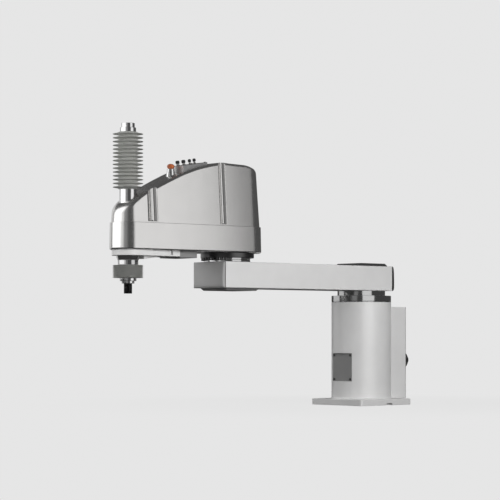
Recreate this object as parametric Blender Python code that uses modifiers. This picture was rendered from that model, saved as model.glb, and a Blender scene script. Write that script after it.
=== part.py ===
"""A SCARA robot arm: a 600 mm first arm, a 400 mm second arm and a ball screw spline shaft.

Metres, +Z up. The origin is on the first joint's axis, in the base's bottom face. The arms reach
along +X at rest, with the shaft raised to the top of its travel.
"""

import math

import bmesh
import bpy
from mathutils import Matrix

# Where the joints are. The joint axes are all vertical.
J2_X = 0.600
J3_X = 1.000
STROKE = 0.130
GAP = 0.0003

# Heights of the faces that the big pieces meet on.
PLATE_TOP = 0.020
HOUSING_TOP = 0.328
COLUMN_TOP = 0.3435
J1_SPLIT = 0.3655
ARM1_BOTTOM = 0.382
ARM1_TOP = 0.464
J2_SPLIT = 0.477
HEAD_BOTTOM = 0.492
SEAM = 0.575

# Base.
PLATE_HALF = 0.119
PLATE_CORNER = 0.008
BOLT_HALF_PITCH = 0.100
BOLT_HOLE_R = 0.008
COLUMN_R = 0.100
COLUMN_BORE_R = 0.082
HOUSING_HALF_Y = 0.070
HOUSING_BACK = -0.141
HOUSING_WALL = 0.004
PANEL_THICK = 0.0027
FRONT_FACE_X = 0.0895
FRONT_PLATE_THICK = 0.0027
FRONT_PLATE_HALF_Y = 0.0446
FRONT_PLATE_Z = (0.080, 0.173)
CONNECTOR_Z = 0.149
CONNECTOR_Y = 0.040

# Arm 1.
ARM1_BACK = -0.0710
ARM1_FRONT = 0.6715
ARM1_HALF_Y = 0.075
ARM1_WALL = 0.008
CAP_PROFILE = (
    (0.45, 0.3820),
    (0.80, 0.3850),
    (0.97, 0.3910),
    (1.00, 0.4000),
    (0.99, 0.4200),
    (0.94, 0.4380),
    (0.83, 0.4510),
    (0.65, 0.4600),
    (0.45, 0.4640),
)
TOP_COVER_HALF = 0.0635
TOP_COVER_HIGH = 0.0092
BOTTOM_COVER_X = (0.519, 0.659)
BOTTOM_COVER_HALF_Y = 0.0625
BOTTOM_COVER_DEEP = 0.008

# Head: its plan is the hull of a nose circle and two rear corner circles.
NOSE_R = 0.0567
REAR_R = 0.060
REAR_X = 0.560
REAR_Y = 0.0265
HEAD_WALL = 0.006
HEAD_FLOOR = 0.010
CASTING_DRAFT = 0.0015
COVER_STEP = 0.0055
COVER_DRAFT = math.tan(math.radians(3.7))
COVER_WALL = 0.003
COVER_TOP_LINE = (
    (1.060, 0.610),
    (1.038, 0.628),
    (1.014, 0.640),
    (0.970, 0.665),
    (0.925, 0.686),
    (0.872, 0.711),
    (0.822, 0.733),
    (0.768, 0.752),
    (0.717, 0.764),
    (0.672, 0.773),
    (0.642, 0.771),
    (0.575, 0.769),
    (0.533, 0.757),
    (0.510, 0.738),
    (0.492, 0.712),
)
GROOVES = ((0.9475, 0.041), (0.682, 0.027))
GROOVE_DEEP = 0.009
GROOVE_FOOT = 0.5785

# Shaft, its nuts and their drives.
SHAFT_R = 0.0125
SHAFT_BORE_R = 0.009
SHAFT_Z = (0.360, 0.876)
NUT_BORE_R = SHAFT_R + GAP
NUT_R = 0.019
NUT_SEAT_R = NUT_R + GAP
NUT_PULLEY_R = 0.035
MOTOR_PULLEY_R = 0.015
BELT_THICK = 0.002
Z_PULLEY_Z = (0.5300, 0.5475)
U_PULLEY_Z = (0.5050, 0.5225)
Z_MOTOR_X = 0.875
U_MOTOR_X = 0.785
MOTOR_PLATE_Z = (0.5605, 0.5705)
BOSS_R = 0.0265
BOSS_TOP = 0.676
BELLOWS_R = 0.0464
BELLOWS_BORE_R = 0.0225
BELLOWS_CLOSED = 0.0427
LOWER_BELLOWS_Z = (0.4070, 0.4467)
UNDER_PLATE_Z = (0.475, HEAD_BOTTOM - GAP)
NOSE_PLATE_R = 0.0494

# What stands on the head.
LAMP_X = 0.832
PANEL_X = (0.715, 0.812)
PANEL_HALF_Y = 0.038
PANEL_TOP = 0.7565
PANEL_SLOPE = 0.165
FITTINGS = ((0.803, 0.0066), (0.7794, 0.0066), (0.7549, 0.0052), (0.7358, 0.0052))
BUTTON_X = 0.698

ROUND = 48
SMALL_ROUND = 24
TINY_ROUND = 12


# ---- Scene, materials and pieces ----


def clear_scene():
    for obj in list(bpy.data.objects):
        bpy.data.objects.remove(obj, do_unlink=True)


def new_collection(name):
    made = bpy.data.collections.new(name)
    bpy.context.scene.collection.children.link(made)
    return made


def new_material(name, colour, roughness, metallic=0.0):
    made = bpy.data.materials.new(name)
    made.use_nodes = True
    shader = made.node_tree.nodes["Principled BSDF"]
    shader.inputs["Base Color"].default_value = (*colour, 1.0)
    shader.inputs["Roughness"].default_value = roughness
    shader.inputs["Metallic"].default_value = metallic
    return made


def pivot(name, at=(0.0, 0.0, 0.0)):
    """An empty on a joint's axis, which that joint's pieces are parented to."""
    empty = bpy.data.objects.new(name, None)
    empty.location = at
    PARTS.objects.link(empty)
    return empty


def place(name, mesh, at, material, body):
    """Adds a visible piece to a body, or a hidden helper where material is None."""
    obj = bpy.data.objects.new(name, mesh)
    obj.location = at
    if material is None:
        CUTTERS.objects.link(obj)
        obj.hide_render = True
        obj.display_type = "WIRE"
        return obj
    mesh.materials.append(material)
    PARTS.objects.link(obj)
    obj.parent = body
    obj.location = [place_ - origin for place_, origin in zip(at, body.location)]
    return obj


def box(name, low, high, material=None, body=None, bevel=0.0):
    mesh = bpy.data.meshes.new(name)
    size = [top - bottom for bottom, top in zip(low, high)]
    middle = [(top + bottom) / 2 for bottom, top in zip(low, high)]
    shape = bmesh.new()
    bmesh.ops.create_cube(shape, size=1.0, matrix=Matrix.Diagonal((*size, 1.0)))
    shape.to_mesh(mesh)
    shape.free()
    obj = place(name, mesh, middle, material, body)
    if bevel:
        edge = obj.modifiers.new("edges", "BEVEL")
        edge.width = bevel
        edge.segments = 1
    return obj


def turned(name, profile, steps, at=(0.0, 0.0, 0.0), material=None, body=None):
    """A turned piece. The profile holds (radius, height), outward from the axis and down its outer side."""
    mesh = bpy.data.meshes.new(name)
    points = [(radius, 0.0, height) for radius, height in profile]
    edges = [(i, i + 1) for i in range(len(points) - 1)]
    if profile[0][0] > 0.0:
        edges.append((len(points) - 1, 0))
    mesh.from_pydata(points, edges, [])
    obj = place(name, mesh, at, material, body)
    screw = obj.modifiers.new("turn", "SCREW")
    screw.axis = "Z"
    screw.steps = steps
    screw.render_steps = steps
    screw.use_merge_vertices = True
    screw.merge_threshold = 0.00001
    return obj


def rod(radius, low, high):
    return [(0.0, high), (radius, high), (radius, low), (0.0, low)]


def tube(outer, inner, low, high):
    return [(outer, high), (outer, low), (inner, low), (inner, high)]


def cylinder(name, radius, low, high, at=(0.0, 0.0), steps=SMALL_ROUND):
    """A hidden upright cylinder to cut or join with."""
    return turned(name, rod(radius, low, high), steps, (*at, 0.0))


def extruded(name, outline, low, high, material=None, body=None, side=False):
    """A flat outline given thickness: upright from (X, Y) points, or sideways from (X, Z) points."""
    curve = bpy.data.curves.new(name, "CURVE")
    curve.dimensions = "2D"
    curve.fill_mode = "BOTH"
    curve.extrude = (high - low) / 2
    spline = curve.splines.new("POLY")
    spline.points.add(len(outline) - 1)
    for point, (across, along) in zip(spline.points, outline):
        point.co = (across, along, 0.0, 1.0)
    spline.use_cyclic_u = True
    guide = bpy.data.objects.new(name + "_guide", curve)
    CUTTERS.objects.link(guide)
    bpy.context.view_layer.update()
    graph = bpy.context.evaluated_depsgraph_get()
    mesh = bpy.data.meshes.new_from_object(guide.evaluated_get(graph))
    bpy.data.objects.remove(guide, do_unlink=True)
    shape = bmesh.new()
    shape.from_mesh(mesh)
    bmesh.ops.remove_doubles(shape, verts=shape.verts, dist=0.000001)
    bmesh.ops.recalc_face_normals(shape, faces=shape.faces)
    if side:
        bmesh.ops.rotate(shape, verts=shape.verts, matrix=Matrix.Rotation(math.pi / 2, 3, "X"))
    shape.to_mesh(mesh)
    shape.free()
    middle = (low + high) / 2
    at = (0.0, middle, 0.0) if side else (0.0, 0.0, middle)
    return place(name, mesh, at, material, body)


def loft(name, lower, upper, low, high, material=None, body=None):
    """A closed solid between two plan outlines with the same number of points."""
    shape = bmesh.new()
    below = [shape.verts.new((*point, low)) for point in lower]
    above = [shape.verts.new((*point, high)) for point in upper]
    shape.faces.new(below[::-1])
    shape.faces.new(above)
    count = len(below)
    for i in range(count):
        j = (i + 1) % count
        shape.faces.new((below[i], below[j], above[j], above[i]))
    mesh = bpy.data.meshes.new(name)
    shape.to_mesh(mesh)
    shape.free()
    return place(name, mesh, (0.0, 0.0, 0.0), material, body)


def combine(obj, other, operation):
    step = obj.modifiers.new(operation.lower(), "BOOLEAN")
    step.operation = operation
    step.solver = "EXACT"
    step.object = other


def cut(obj, *others):
    for other in others:
        combine(obj, other, "DIFFERENCE")


def join(obj, *others):
    for other in others:
        combine(obj, other, "UNION")


def shade_round(obj):
    obj.data.shade_smooth()
    obj.data.set_sharp_from_angle(angle=math.radians(30))


# ---- Outlines ----


def arc(centre, radius, start, end, steps):
    """Points on an arc, from and to the given angles in radians."""
    angles = [start + (end - start) * i / steps for i in range(steps + 1)]
    return [
        (centre[0] + radius * math.cos(a), centre[1] + radius * math.sin(a))
        for a in angles
    ]


def rounded_rectangle(low, high, radius, steps=4):
    quarter = math.pi / 2
    corners = (
        (high[0] - radius, high[1] - radius),
        (low[0] + radius, high[1] - radius),
        (low[0] + radius, low[1] + radius),
        (high[0] - radius, low[1] + radius),
    )
    points = []
    for i, corner in enumerate(corners):
        points += arc(corner, radius, i * quarter, (i + 1) * quarter, steps)
    return points


def tangent_angle(front, front_r, back, back_r):
    """The direction that a straight side faces, where it touches a front circle and a back circle."""
    along = (front[0] - back[0], front[1] - back[1])
    return math.atan2(along[1], along[0]) + math.acos((back_r - front_r) / math.hypot(*along))


def head_outline(inset):
    """The head's plan, drawn in by an inset: a round nose, straight tapering sides and a broad round rear."""
    nose_r = NOSE_R - inset
    rear_r = REAR_R - inset
    side = tangent_angle((J3_X, 0.0), nose_r, (REAR_X, REAR_Y), rear_r)
    points = arc((J3_X, 0.0), nose_r, -side, side, 14)
    points += arc((REAR_X, REAR_Y), rear_r, side, math.pi, 7)
    points += arc((REAR_X, -REAR_Y), rear_r, math.pi, 2 * math.pi - side, 7)
    return points


def head_half_width(x, inset):
    """Half the head's width on its straight side."""
    side = tangent_angle((J3_X, 0.0), NOSE_R, (REAR_X, REAR_Y), REAR_R)
    return (NOSE_R - inset - (x - J3_X) * math.cos(side)) / math.sin(side)


def belt_outline(back_x, offset):
    """The loop round a nut's pulley on the shaft's axis and a motor's pulley behind it."""
    front_r = NUT_PULLEY_R + offset
    back_r = MOTOR_PULLEY_R + offset
    side = tangent_angle((J3_X, 0.0), front_r, (back_x, 0.0), back_r)
    points = arc((J3_X, 0.0), front_r, -side, side, 14)
    points += arc((back_x, 0.0), back_r, side, 2 * math.pi - side, 8)
    return points


# ---- Base ----


def make_base_casting():
    """The bolting plate and the column, which is open at the top for the first joint's drive."""
    corner = (PLATE_HALF, PLATE_HALF)
    plate = rounded_rectangle((-PLATE_HALF, -PLATE_HALF), corner, PLATE_CORNER)
    casting = extruded("base_casting", plate, 0.0, PLATE_TOP, CAST_WHITE, BASE)
    column = turned("column", tube(COLUMN_R, COLUMN_BORE_R, PLATE_TOP / 2, COLUMN_TOP), ROUND)
    join(casting, column)
    low_z, high_z = FRONT_PLATE_Z
    pocket_y = FRONT_PLATE_HALF_Y + GAP
    seat_x = FRONT_FACE_X - FRONT_PLATE_THICK - GAP
    cut(
        casting,
        box("front_seat", (seat_x, -pocket_y, low_z - GAP), (0.120, pocket_y, high_z + GAP)),
        box("front_opening", (0.060, -0.030, 0.090), (0.095, 0.030, 0.158)),
        box("cable_opening", (-0.120, -0.045, 0.060), (-0.060, 0.045, 0.300)),
        box("edge_notch", (-0.028, PLATE_HALF - 0.003, -0.001), (0.0, 0.125, 0.007)),
    )
    for x in (-BOLT_HALF_PITCH, BOLT_HALF_PITCH):
        for y in (-BOLT_HALF_PITCH, BOLT_HALF_PITCH):
            cut(casting, cylinder("bolt_hole", BOLT_HOLE_R, -0.010, 0.030, (x, y), 16))


def make_rear_housing():
    """The box behind the column that holds the cables, with a panel of sockets on its back."""
    low = PLATE_TOP + GAP
    wall = HOUSING_WALL
    half = HOUSING_HALF_Y
    housing = box(
        "rear_housing", (HOUSING_BACK, -half, low), (-0.060, half, HOUSING_TOP), PAINT_WHITE, BASE
    )
    cut(
        housing,
        box(
            "housing_inside",
            (HOUSING_BACK - 0.010, wall - half, low + wall),
            (-0.050, half - wall, HOUSING_TOP - wall),
        ),
        cylinder("column_room", COLUMN_R + GAP, 0.0, 0.400, steps=ROUND),
    )
    panel = box(
        "rear_panel",
        (HOUSING_BACK - GAP - PANEL_THICK, -half, low),
        (HOUSING_BACK - GAP, half, HOUSING_TOP),
        DARK_PAINT,
        BASE,
    )
    for radius, y, z in (
        (0.0158, CONNECTOR_Y, CONNECTOR_Z),
        (0.0128, -CONNECTOR_Y, CONNECTOR_Z),
        (0.0053, 0.030, 0.262),
        (0.0053, 0.046, 0.262),
    ):
        hole = turned("panel_hole", rod(radius, -0.020, 0.020), 16, (HOUSING_BACK, y, z))
        hole.rotation_euler = (0.0, -math.pi / 2, 0.0)
        cut(panel, hole)
    for y, half_wide in ((-0.030, 0.0203), (0.0, 0.0083)):
        low_corner = (HOUSING_BACK - 0.020, y - half_wide, 0.2547)
        cut(panel, box("port_hole", low_corner, (HOUSING_BACK + 0.020, y + half_wide, 0.2693)))


def socket(name, y, flange_r, barrel_r, reach):
    """A round panel socket that faces backwards, open at its mouth."""
    mouth_r = barrel_r - 0.0045
    profile = [
        (0.0, reach - 0.016),
        (mouth_r, reach - 0.016),
        (mouth_r, reach),
        (barrel_r, reach),
        (barrel_r, 0.0120),
        (flange_r - 0.005, 0.0120),
        (flange_r, 0.0090),
        (flange_r, GAP),
        (barrel_r, GAP),
        (barrel_r, -0.022),
        (0.0, -0.022),
    ]
    back = HOUSING_BACK - GAP - PANEL_THICK
    made = turned(name, profile, 16, (back, y, CONNECTOR_Z), DARK_METAL, BASE)
    made.rotation_euler = (0.0, -math.pi / 2, 0.0)


def make_panel_ports():
    back = HOUSING_BACK - GAP - PANEL_THICK
    socket("power_connector", CONNECTOR_Y, 0.0260, 0.0155, 0.0280)
    socket("signal_connector", -CONNECTOR_Y, 0.0210, 0.0125, 0.0240)
    for name, y, half_wide in (("dsub_port_15", -0.030, 0.020), ("dsub_port_9", 0.0, 0.008)):
        low = (back - 0.006, y - half_wide, 0.2550)
        box(name, low, (back + 0.010, y + half_wide, 0.2690), STEEL, BASE, bevel=0.001)
    for i, y in enumerate((0.030, 0.046)):
        profile = [(0.003, 0.018), (0.005, 0.018), (0.005, -0.012), (0.003, -0.012)]
        port = turned(f"air_port_{i + 1}", profile, TINY_ROUND, (back, y, 0.262), BRASS, BASE)
        port.rotation_euler = (0.0, -math.pi / 2, 0.0)


def make_front_cover():
    low_z, high_z = FRONT_PLATE_Z
    back = FRONT_FACE_X - FRONT_PLATE_THICK
    half = FRONT_PLATE_HALF_Y
    box("front_cover_plate", (back, -half, low_z), (FRONT_FACE_X, half, high_z), DARK_PAINT, BASE)
    number = 0
    for y in (-0.038, 0.038):
        for z in (0.0865, 0.1665):
            number += 1
            profile = rod(0.0042, GAP, 0.0022)
            at = (FRONT_FACE_X, y, z)
            screw = turned(f"front_cover_screw_{number}", profile, 10, at, DARK_METAL, BASE)
            screw.rotation_euler = (0.0, math.pi / 2, 0.0)


def motor(name, x, half, low, high, body):
    """A square servo motor that stands on its shaft end, with its encoder on top."""
    case = box(name, (x - half, -half, low), (x + half, half, high), BLACK_PAINT, body, bevel=0.003)
    coder = 0.72 * half
    low_corner = (x - coder, -coder, high - 0.005)
    join(case, box("encoder", low_corner, (x + coder, coder, high + 0.022), bevel=0.002))
    cut(case, cylinder("shaft_room", 0.0080, low - 0.010, low + 0.014, (x, 0.0), TINY_ROUND))


def wave_generator(name, at_x, low, high, shaft_high, body):
    """The oval cam that a motor turns inside a reducer, on the motor's shaft."""
    shape = bmesh.new()
    middle = Matrix.Translation((0.0, 0.0, (low + high) / 2)) @ Matrix.Diagonal((1.0, 0.92, 1.0, 1.0))
    bmesh.ops.create_cone(
        shape,
        cap_ends=True,
        segments=24,
        radius1=0.0245,
        radius2=0.0245,
        depth=high - low,
        matrix=middle,
    )
    mesh = bpy.data.meshes.new(name)
    shape.to_mesh(mesh)
    shape.free()
    cam = place(name, mesh, (at_x, 0.0, 0.0), STEEL, body)
    shaft = sorted((low + 0.002, shaft_high))
    join(cam, cylinder("cam_shaft", 0.007, *shaft, (at_x, 0.0), TINY_ROUND))


def make_j1_drive():
    """The first joint's motor hangs in the column, under the reducer that carries arm 1."""
    mount = tube(0.0812, 0.022, 0.3000, 0.3120)
    turned("j1_motor_mount", mount, ROUND, material=ALUMINIUM, body=BASE)
    case = box(
        "j1_motor", (-0.040, -0.040, 0.175), (0.040, 0.040, 0.2997), BLACK_PAINT, BASE, bevel=0.003
    )
    join(case, box("encoder", (-0.029, -0.029, 0.150), (0.029, 0.029, 0.180), bevel=0.002))
    cut(case, cylinder("shaft_room", 0.008, 0.286, 0.310, steps=TINY_ROUND))
    ring = [
        (COLUMN_R, J1_SPLIT - GAP),
        (COLUMN_R, COLUMN_TOP + GAP),
        (0.0812, COLUMN_TOP + GAP),
        (0.0812, 0.3125),
        (0.0450, 0.3125),
        (0.0450, J1_SPLIT - GAP),
    ]
    turned("j1_reducer_ring", ring, ROUND, material=DARK_STEEL, body=BASE)
    wave_generator("j1_wave_generator", 0.0, 0.3220, 0.3400, 0.2880, J1_CAM)


# ---- Arm 1 ----


def make_arm1_beam():
    half = ARM1_HALF_Y
    wall = ARM1_WALL
    beam = box(
        "arm1_beam",
        (ARM1_BACK, -half, ARM1_BOTTOM),
        (ARM1_FRONT, half, ARM1_TOP),
        PAINT_WHITE,
        ARM1,
        bevel=0.0025,
    )
    cut(
        beam,
        box(
            "beam_inside",
            (ARM1_BACK - 0.010, wall - half, ARM1_BOTTOM + wall),
            (ARM1_FRONT + 0.010, half - wall, ARM1_TOP - wall),
        ),
        box("j1_top_opening", (-0.050, -0.050, 0.450), (0.050, 0.050, 0.470)),
        box("j2_bottom_opening", (0.545, -0.050, 0.375), (0.640, 0.050, 0.395)),
        cylinder("j1_bottom_hole", 0.026, 0.370, 0.400),
        cylinder("j2_top_hole", 0.050, 0.450, 0.470, (J2_X, 0.0), ROUND),
    )


def end_cap(name, root_x, outward, deep, corner):
    """A cap over the beam's open end, fullest low down, with its upright corners cut."""
    profile = [(root_x + outward * share * deep, z) for share, z in CAP_PROFILE]
    outline = [(root_x, ARM1_BOTTOM), *profile, (root_x, ARM1_TOP)]
    half = ARM1_HALF_Y
    cap = extruded(name, outline, -half, half, DARK_PAINT, ARM1, side=True)
    plan = [
        (root_x - outward * 0.005, -half - 0.005),
        (root_x + outward * 0.0015, -half - 0.005),
        (root_x + outward * 0.0015, -half),
        (root_x + outward * (deep + 0.001), corner - half),
        (root_x + outward * (deep + 0.001), half - corner),
        (root_x + outward * 0.0015, half),
        (root_x + outward * 0.0015, half + 0.005),
        (root_x - outward * 0.005, half + 0.005),
    ]
    combine(cap, extruded("cap_plan", plan, 0.370, 0.480), "INTERSECT")


def make_arm1_covers():
    end_cap("arm1_front_cap", ARM1_FRONT + GAP, 1, 0.0085, 0.0070)
    end_cap("arm1_rear_cap", ARM1_BACK - GAP, -1, 0.0140, 0.0035)
    wide = TOP_COVER_HALF
    narrow = wide - 0.006
    low = rounded_rectangle((-wide, -wide), (wide, wide), 0.004, 2)
    high = rounded_rectangle((-narrow, -narrow), (narrow, narrow), 0.004, 2)
    foot = ARM1_TOP + GAP
    loft("arm1_top_cover", low, high, foot, foot + TOP_COVER_HIGH, DARK_PAINT, ARM1)
    start, end = BOTTOM_COVER_X
    half = BOTTOM_COVER_HALF_Y
    wide_plan = rounded_rectangle((start, -half), (end, half), 0.006, 2)
    low_plan = rounded_rectangle((start + 0.006, 0.006 - half), (end - 0.006, half - 0.006), 0.006, 2)
    bottom = ARM1_BOTTOM - BOTTOM_COVER_DEEP
    loft("arm1_bottom_cover", low_plan, wide_plan, bottom, ARM1_BOTTOM - GAP, DARK_PAINT, ARM1)


def make_arm1_joint_rings():
    flange = [
        (0.0800, ARM1_BOTTOM - GAP),
        (0.0800, J1_SPLIT),
        (0.0440, J1_SPLIT),
        (0.0440, 0.3160),
        (0.0260, 0.3160),
        (0.0260, ARM1_BOTTOM - GAP),
    ]
    turned("j1_output_flange", flange, ROUND, material=DARK_STEEL, body=ARM1)
    ring = [
        (0.0725, J2_SPLIT - GAP),
        (0.0725, ARM1_TOP + GAP),
        (0.0495, ARM1_TOP + GAP),
        (0.0495, 0.4000),
        (0.0340, 0.4000),
        (0.0340, J2_SPLIT - GAP),
    ]
    turned("j2_reducer_ring", ring, ROUND, (J2_X, 0.0, 0.0), DARK_STEEL, ARM1)


# ---- Head ----


def make_j2_drive():
    top = HEAD_BOTTOM - GAP
    flange = [
        (0.0845, top),
        (0.0845, J2_SPLIT),
        (0.0330, J2_SPLIT),
        (0.0330, 0.4150),
        (0.0265, 0.4150),
        (0.0265, top),
    ]
    turned("j2_output_flange", flange, ROUND, (J2_X, 0.0, 0.0), DARK_STEEL, ARM2)
    floor = HEAD_BOTTOM + HEAD_FLOOR
    motor("j2_motor", J2_X, 0.040, floor + GAP, 0.650, ARM2)
    wave_generator("j2_wave_generator", J2_X, 0.4250, 0.4430, floor + 0.012, J2_CAM)


def make_arm2_casting():
    """The head's lower half: a tub with posts for the plate that carries the shaft's motors."""
    casting = loft(
        "arm2_casting",
        head_outline(0.0),
        head_outline(CASTING_DRAFT),
        HEAD_BOTTOM,
        SEAM - GAP,
        PLATED,
        ARM2,
    )
    inside = head_outline(HEAD_WALL)
    floor = HEAD_BOTTOM + HEAD_FLOOR
    cut(casting, loft("casting_inside", inside, inside, floor, SEAM + 0.020))
    for x in (0.930, 0.750):
        for y in (-0.042, 0.042):
            post = cylinder("post", 0.006, floor - 0.005, MOTOR_PLATE_Z[0] - GAP, (x, y), TINY_ROUND)
            join(casting, post)
    cut(
        casting,
        cylinder("j2_floor_hole", 0.030, 0.480, 0.510, (J2_X, 0.0)),
        cylinder("nut_floor_hole", 0.0215, 0.480, 0.510, (J3_X, 0.0)),
    )


def cover_solid(name, inset, drop, floor, material=None, body=None):
    """The cover's drafted plan, cut off by its sloping top line. A drop lowers that line."""
    top = 0.800
    lower = head_outline(COVER_STEP + inset + (floor - SEAM) * COVER_DRAFT)
    upper = head_outline(COVER_STEP + inset + (top - SEAM) * COVER_DRAFT)
    solid = loft(name, lower, upper, floor, top, material, body)
    line = [(x, z - drop) for x, z in COVER_TOP_LINE]
    above = [(0.470, 0.850), (0.470, line[-1][1]), *line[::-1], (1.070, line[0][1]), (1.070, 0.850)]
    cut(solid, extruded("above_cover", above, -0.120, 0.120, side=True))
    return solid


def groove_cutter(x, width, side, grow):
    """An upright channel in the cover's side, open at the top."""
    wide = width / 2 + grow
    low = GROOVE_FOOT - grow
    high = 0.830
    edge = head_half_width(x, COVER_STEP) - ((low + high) / 2 - SEAM) * COVER_DRAFT
    near, far = sorted((side * (edge - GROOVE_DEEP - grow), side * (edge + 0.030)))
    cutter = box("groove", (x - wide, near, low), (x + wide, far, high))
    lean = math.atan(COVER_DRAFT)
    cutter.rotation_euler = (side * lean, 0.0, 0.0)
    return cutter


def make_arm2_cover():
    cover = cover_solid("arm2_cover", 0.0, 0.0, SEAM + GAP, PLATED, ARM2)
    inside = cover_solid("cover_inside", COVER_WALL, COVER_WALL, SEAM - 0.010)
    for x, width in GROOVES:
        for side in (-1, 1):
            cut(cover, groove_cutter(x, width, side, 0.0))
            cut(inside, groove_cutter(x, width, side, COVER_WALL))
    cut(
        cover,
        inside,
        cylinder("boss_hole", BOSS_R + GAP, 0.560, 0.700, (J3_X, 0.0)),
        cylinder("lamp_hole", 0.0153, 0.690, 0.760, (LAMP_X, 0.0)),
        cylinder("button_hole", 0.0064, 0.740, 0.790, (BUTTON_X, 0.0), TINY_ROUND),
        box(
            "panel_hole",
            (PANEL_X[0] - GAP, -PANEL_HALF_Y - GAP, 0.700),
            (PANEL_X[1] + GAP, PANEL_HALF_Y + GAP, 0.800),
        ),
    )


def make_under_plates():
    """The flat plates under the head, between the second joint and the shaft."""
    low, high = UNDER_PLATE_Z
    nose = arc((J3_X, 0.0), NOSE_PLATE_R, -math.pi / 2, math.pi / 2, 12)
    outline = [*nose, (0.836, NOSE_PLATE_R), (0.836, -NOSE_PLATE_R)]
    plate = extruded("shaft_plate", outline, low, high, PAINT_WHITE, ARM2)
    for side in (-1, 1):
        near, far = sorted((side * 0.040, side * 0.060))
        cut(plate, box("plate_notch", (0.8640, near, 0.4790), (0.8715, far, 0.5000)))
    cut(plate, cylinder("nut_hole", 0.0215, 0.470, 0.500, (J3_X, 0.0)))
    box(
        "under_cover",
        (0.767, -NOSE_PLATE_R, low - 0.003),
        (0.836 - GAP, NOSE_PLATE_R, high),
        DARK_PAINT,
        ARM2,
        bevel=0.001,
    )


def make_shaft_nuts():
    """The lower nut turns the shaft and the upper nut lifts it. Each turns inside a fixed seat."""
    at = (J3_X, 0.0, 0.0)
    seat = [
        (0.0367, UNDER_PLATE_Z[0] - GAP),
        (0.0324, 0.4616),
        (0.0310, 0.4616),
        (0.0310, 0.4470),
        (NUT_SEAT_R, 0.4470),
        (NUT_SEAT_R, UNDER_PLATE_Z[0] - GAP),
    ]
    housing = turned("spline_nut_housing", seat, SMALL_ROUND, at, ALUMINIUM, ARM2)
    top = UNDER_PLATE_Z[0] - GAP
    rib = [(1.000, 0.4630), (1.000, top), (0.900, top), (0.900, 0.4733)]
    join(housing, extruded("housing_rib", rib, -0.030, 0.030, side=True))
    cut(housing, cylinder("nut_seat", NUT_SEAT_R, 0.440, 0.480, (J3_X, 0.0)))
    turned("spline_nut", tube(NUT_R, NUT_BORE_R, 0.4495, 0.5230), SMALL_ROUND, at, STEEL, SPLINE_NUT)
    boss = [
        (BOSS_R, BOSS_TOP),
        (BOSS_R, 0.5768),
        (0.0360, 0.5768),
        (0.0360, MOTOR_PLATE_Z[1] + GAP),
        (BOSS_R, MOTOR_PLATE_Z[1] + GAP),
        (BOSS_R, 0.5500),
        (NUT_SEAT_R, 0.5500),
        (NUT_SEAT_R, BOSS_TOP),
    ]
    turned("ball_nut_housing", boss, SMALL_ROUND, at, CHROME, ARM2)
    turned("ball_nut", tube(NUT_R, NUT_BORE_R, 0.5300, 0.6400), SMALL_ROUND, at, STEEL, BALL_NUT)


def make_motor_plate():
    low, high = MOTOR_PLATE_Z
    outline = rounded_rectangle((0.735, -0.045), (1.025, 0.045), 0.020)
    plate = extruded("motor_plate", outline, low, high, ALUMINIUM, ARM2)
    cut(plate, cylinder("boss_room", BOSS_R + GAP, 0.550, 0.580, (J3_X, 0.0)))
    for x in (Z_MOTOR_X, U_MOTOR_X):
        cut(plate, cylinder("shaft_room", 0.012, 0.550, 0.580, (x, 0.0), TINY_ROUND))
    motor("z_motor", Z_MOTOR_X, 0.030, high + GAP, 0.650, ARM2)
    motor("u_motor", U_MOTOR_X, 0.030, high + GAP, 0.665, ARM2)


def belt_drive(label, motor_x, levels, nut_body, motor_body):
    """One nut's pulley, its motor's pulley on the motor's shaft, and the toothed belt round both."""
    low, high = levels
    ring = tube(NUT_PULLEY_R, NUT_SEAT_R, low, high)
    turned(f"{label}_nut_pulley", ring, SMALL_ROUND, (J3_X, 0.0, 0.0), ALUMINIUM, nut_body)
    pulley = [
        (0.0, MOTOR_PLATE_Z[1] + 0.010),
        (0.006, MOTOR_PLATE_Z[1] + 0.010),
        (0.006, high),
        (MOTOR_PULLEY_R, high),
        (MOTOR_PULLEY_R, low),
        (0.0, low),
    ]
    at = (motor_x, 0.0, 0.0)
    turned(f"{label}_motor_pulley", pulley, SMALL_ROUND, at, ALUMINIUM, motor_body)
    loop = belt_outline(motor_x, GAP + BELT_THICK)
    belt = extruded(f"{label}_belt", loop, low + 0.001, high - 0.001, RUBBER, ARM2)
    cut(belt, extruded("belt_inside", belt_outline(motor_x, GAP), low - 0.001, high + 0.001))


# ---- Shaft and what moves with it ----


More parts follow.
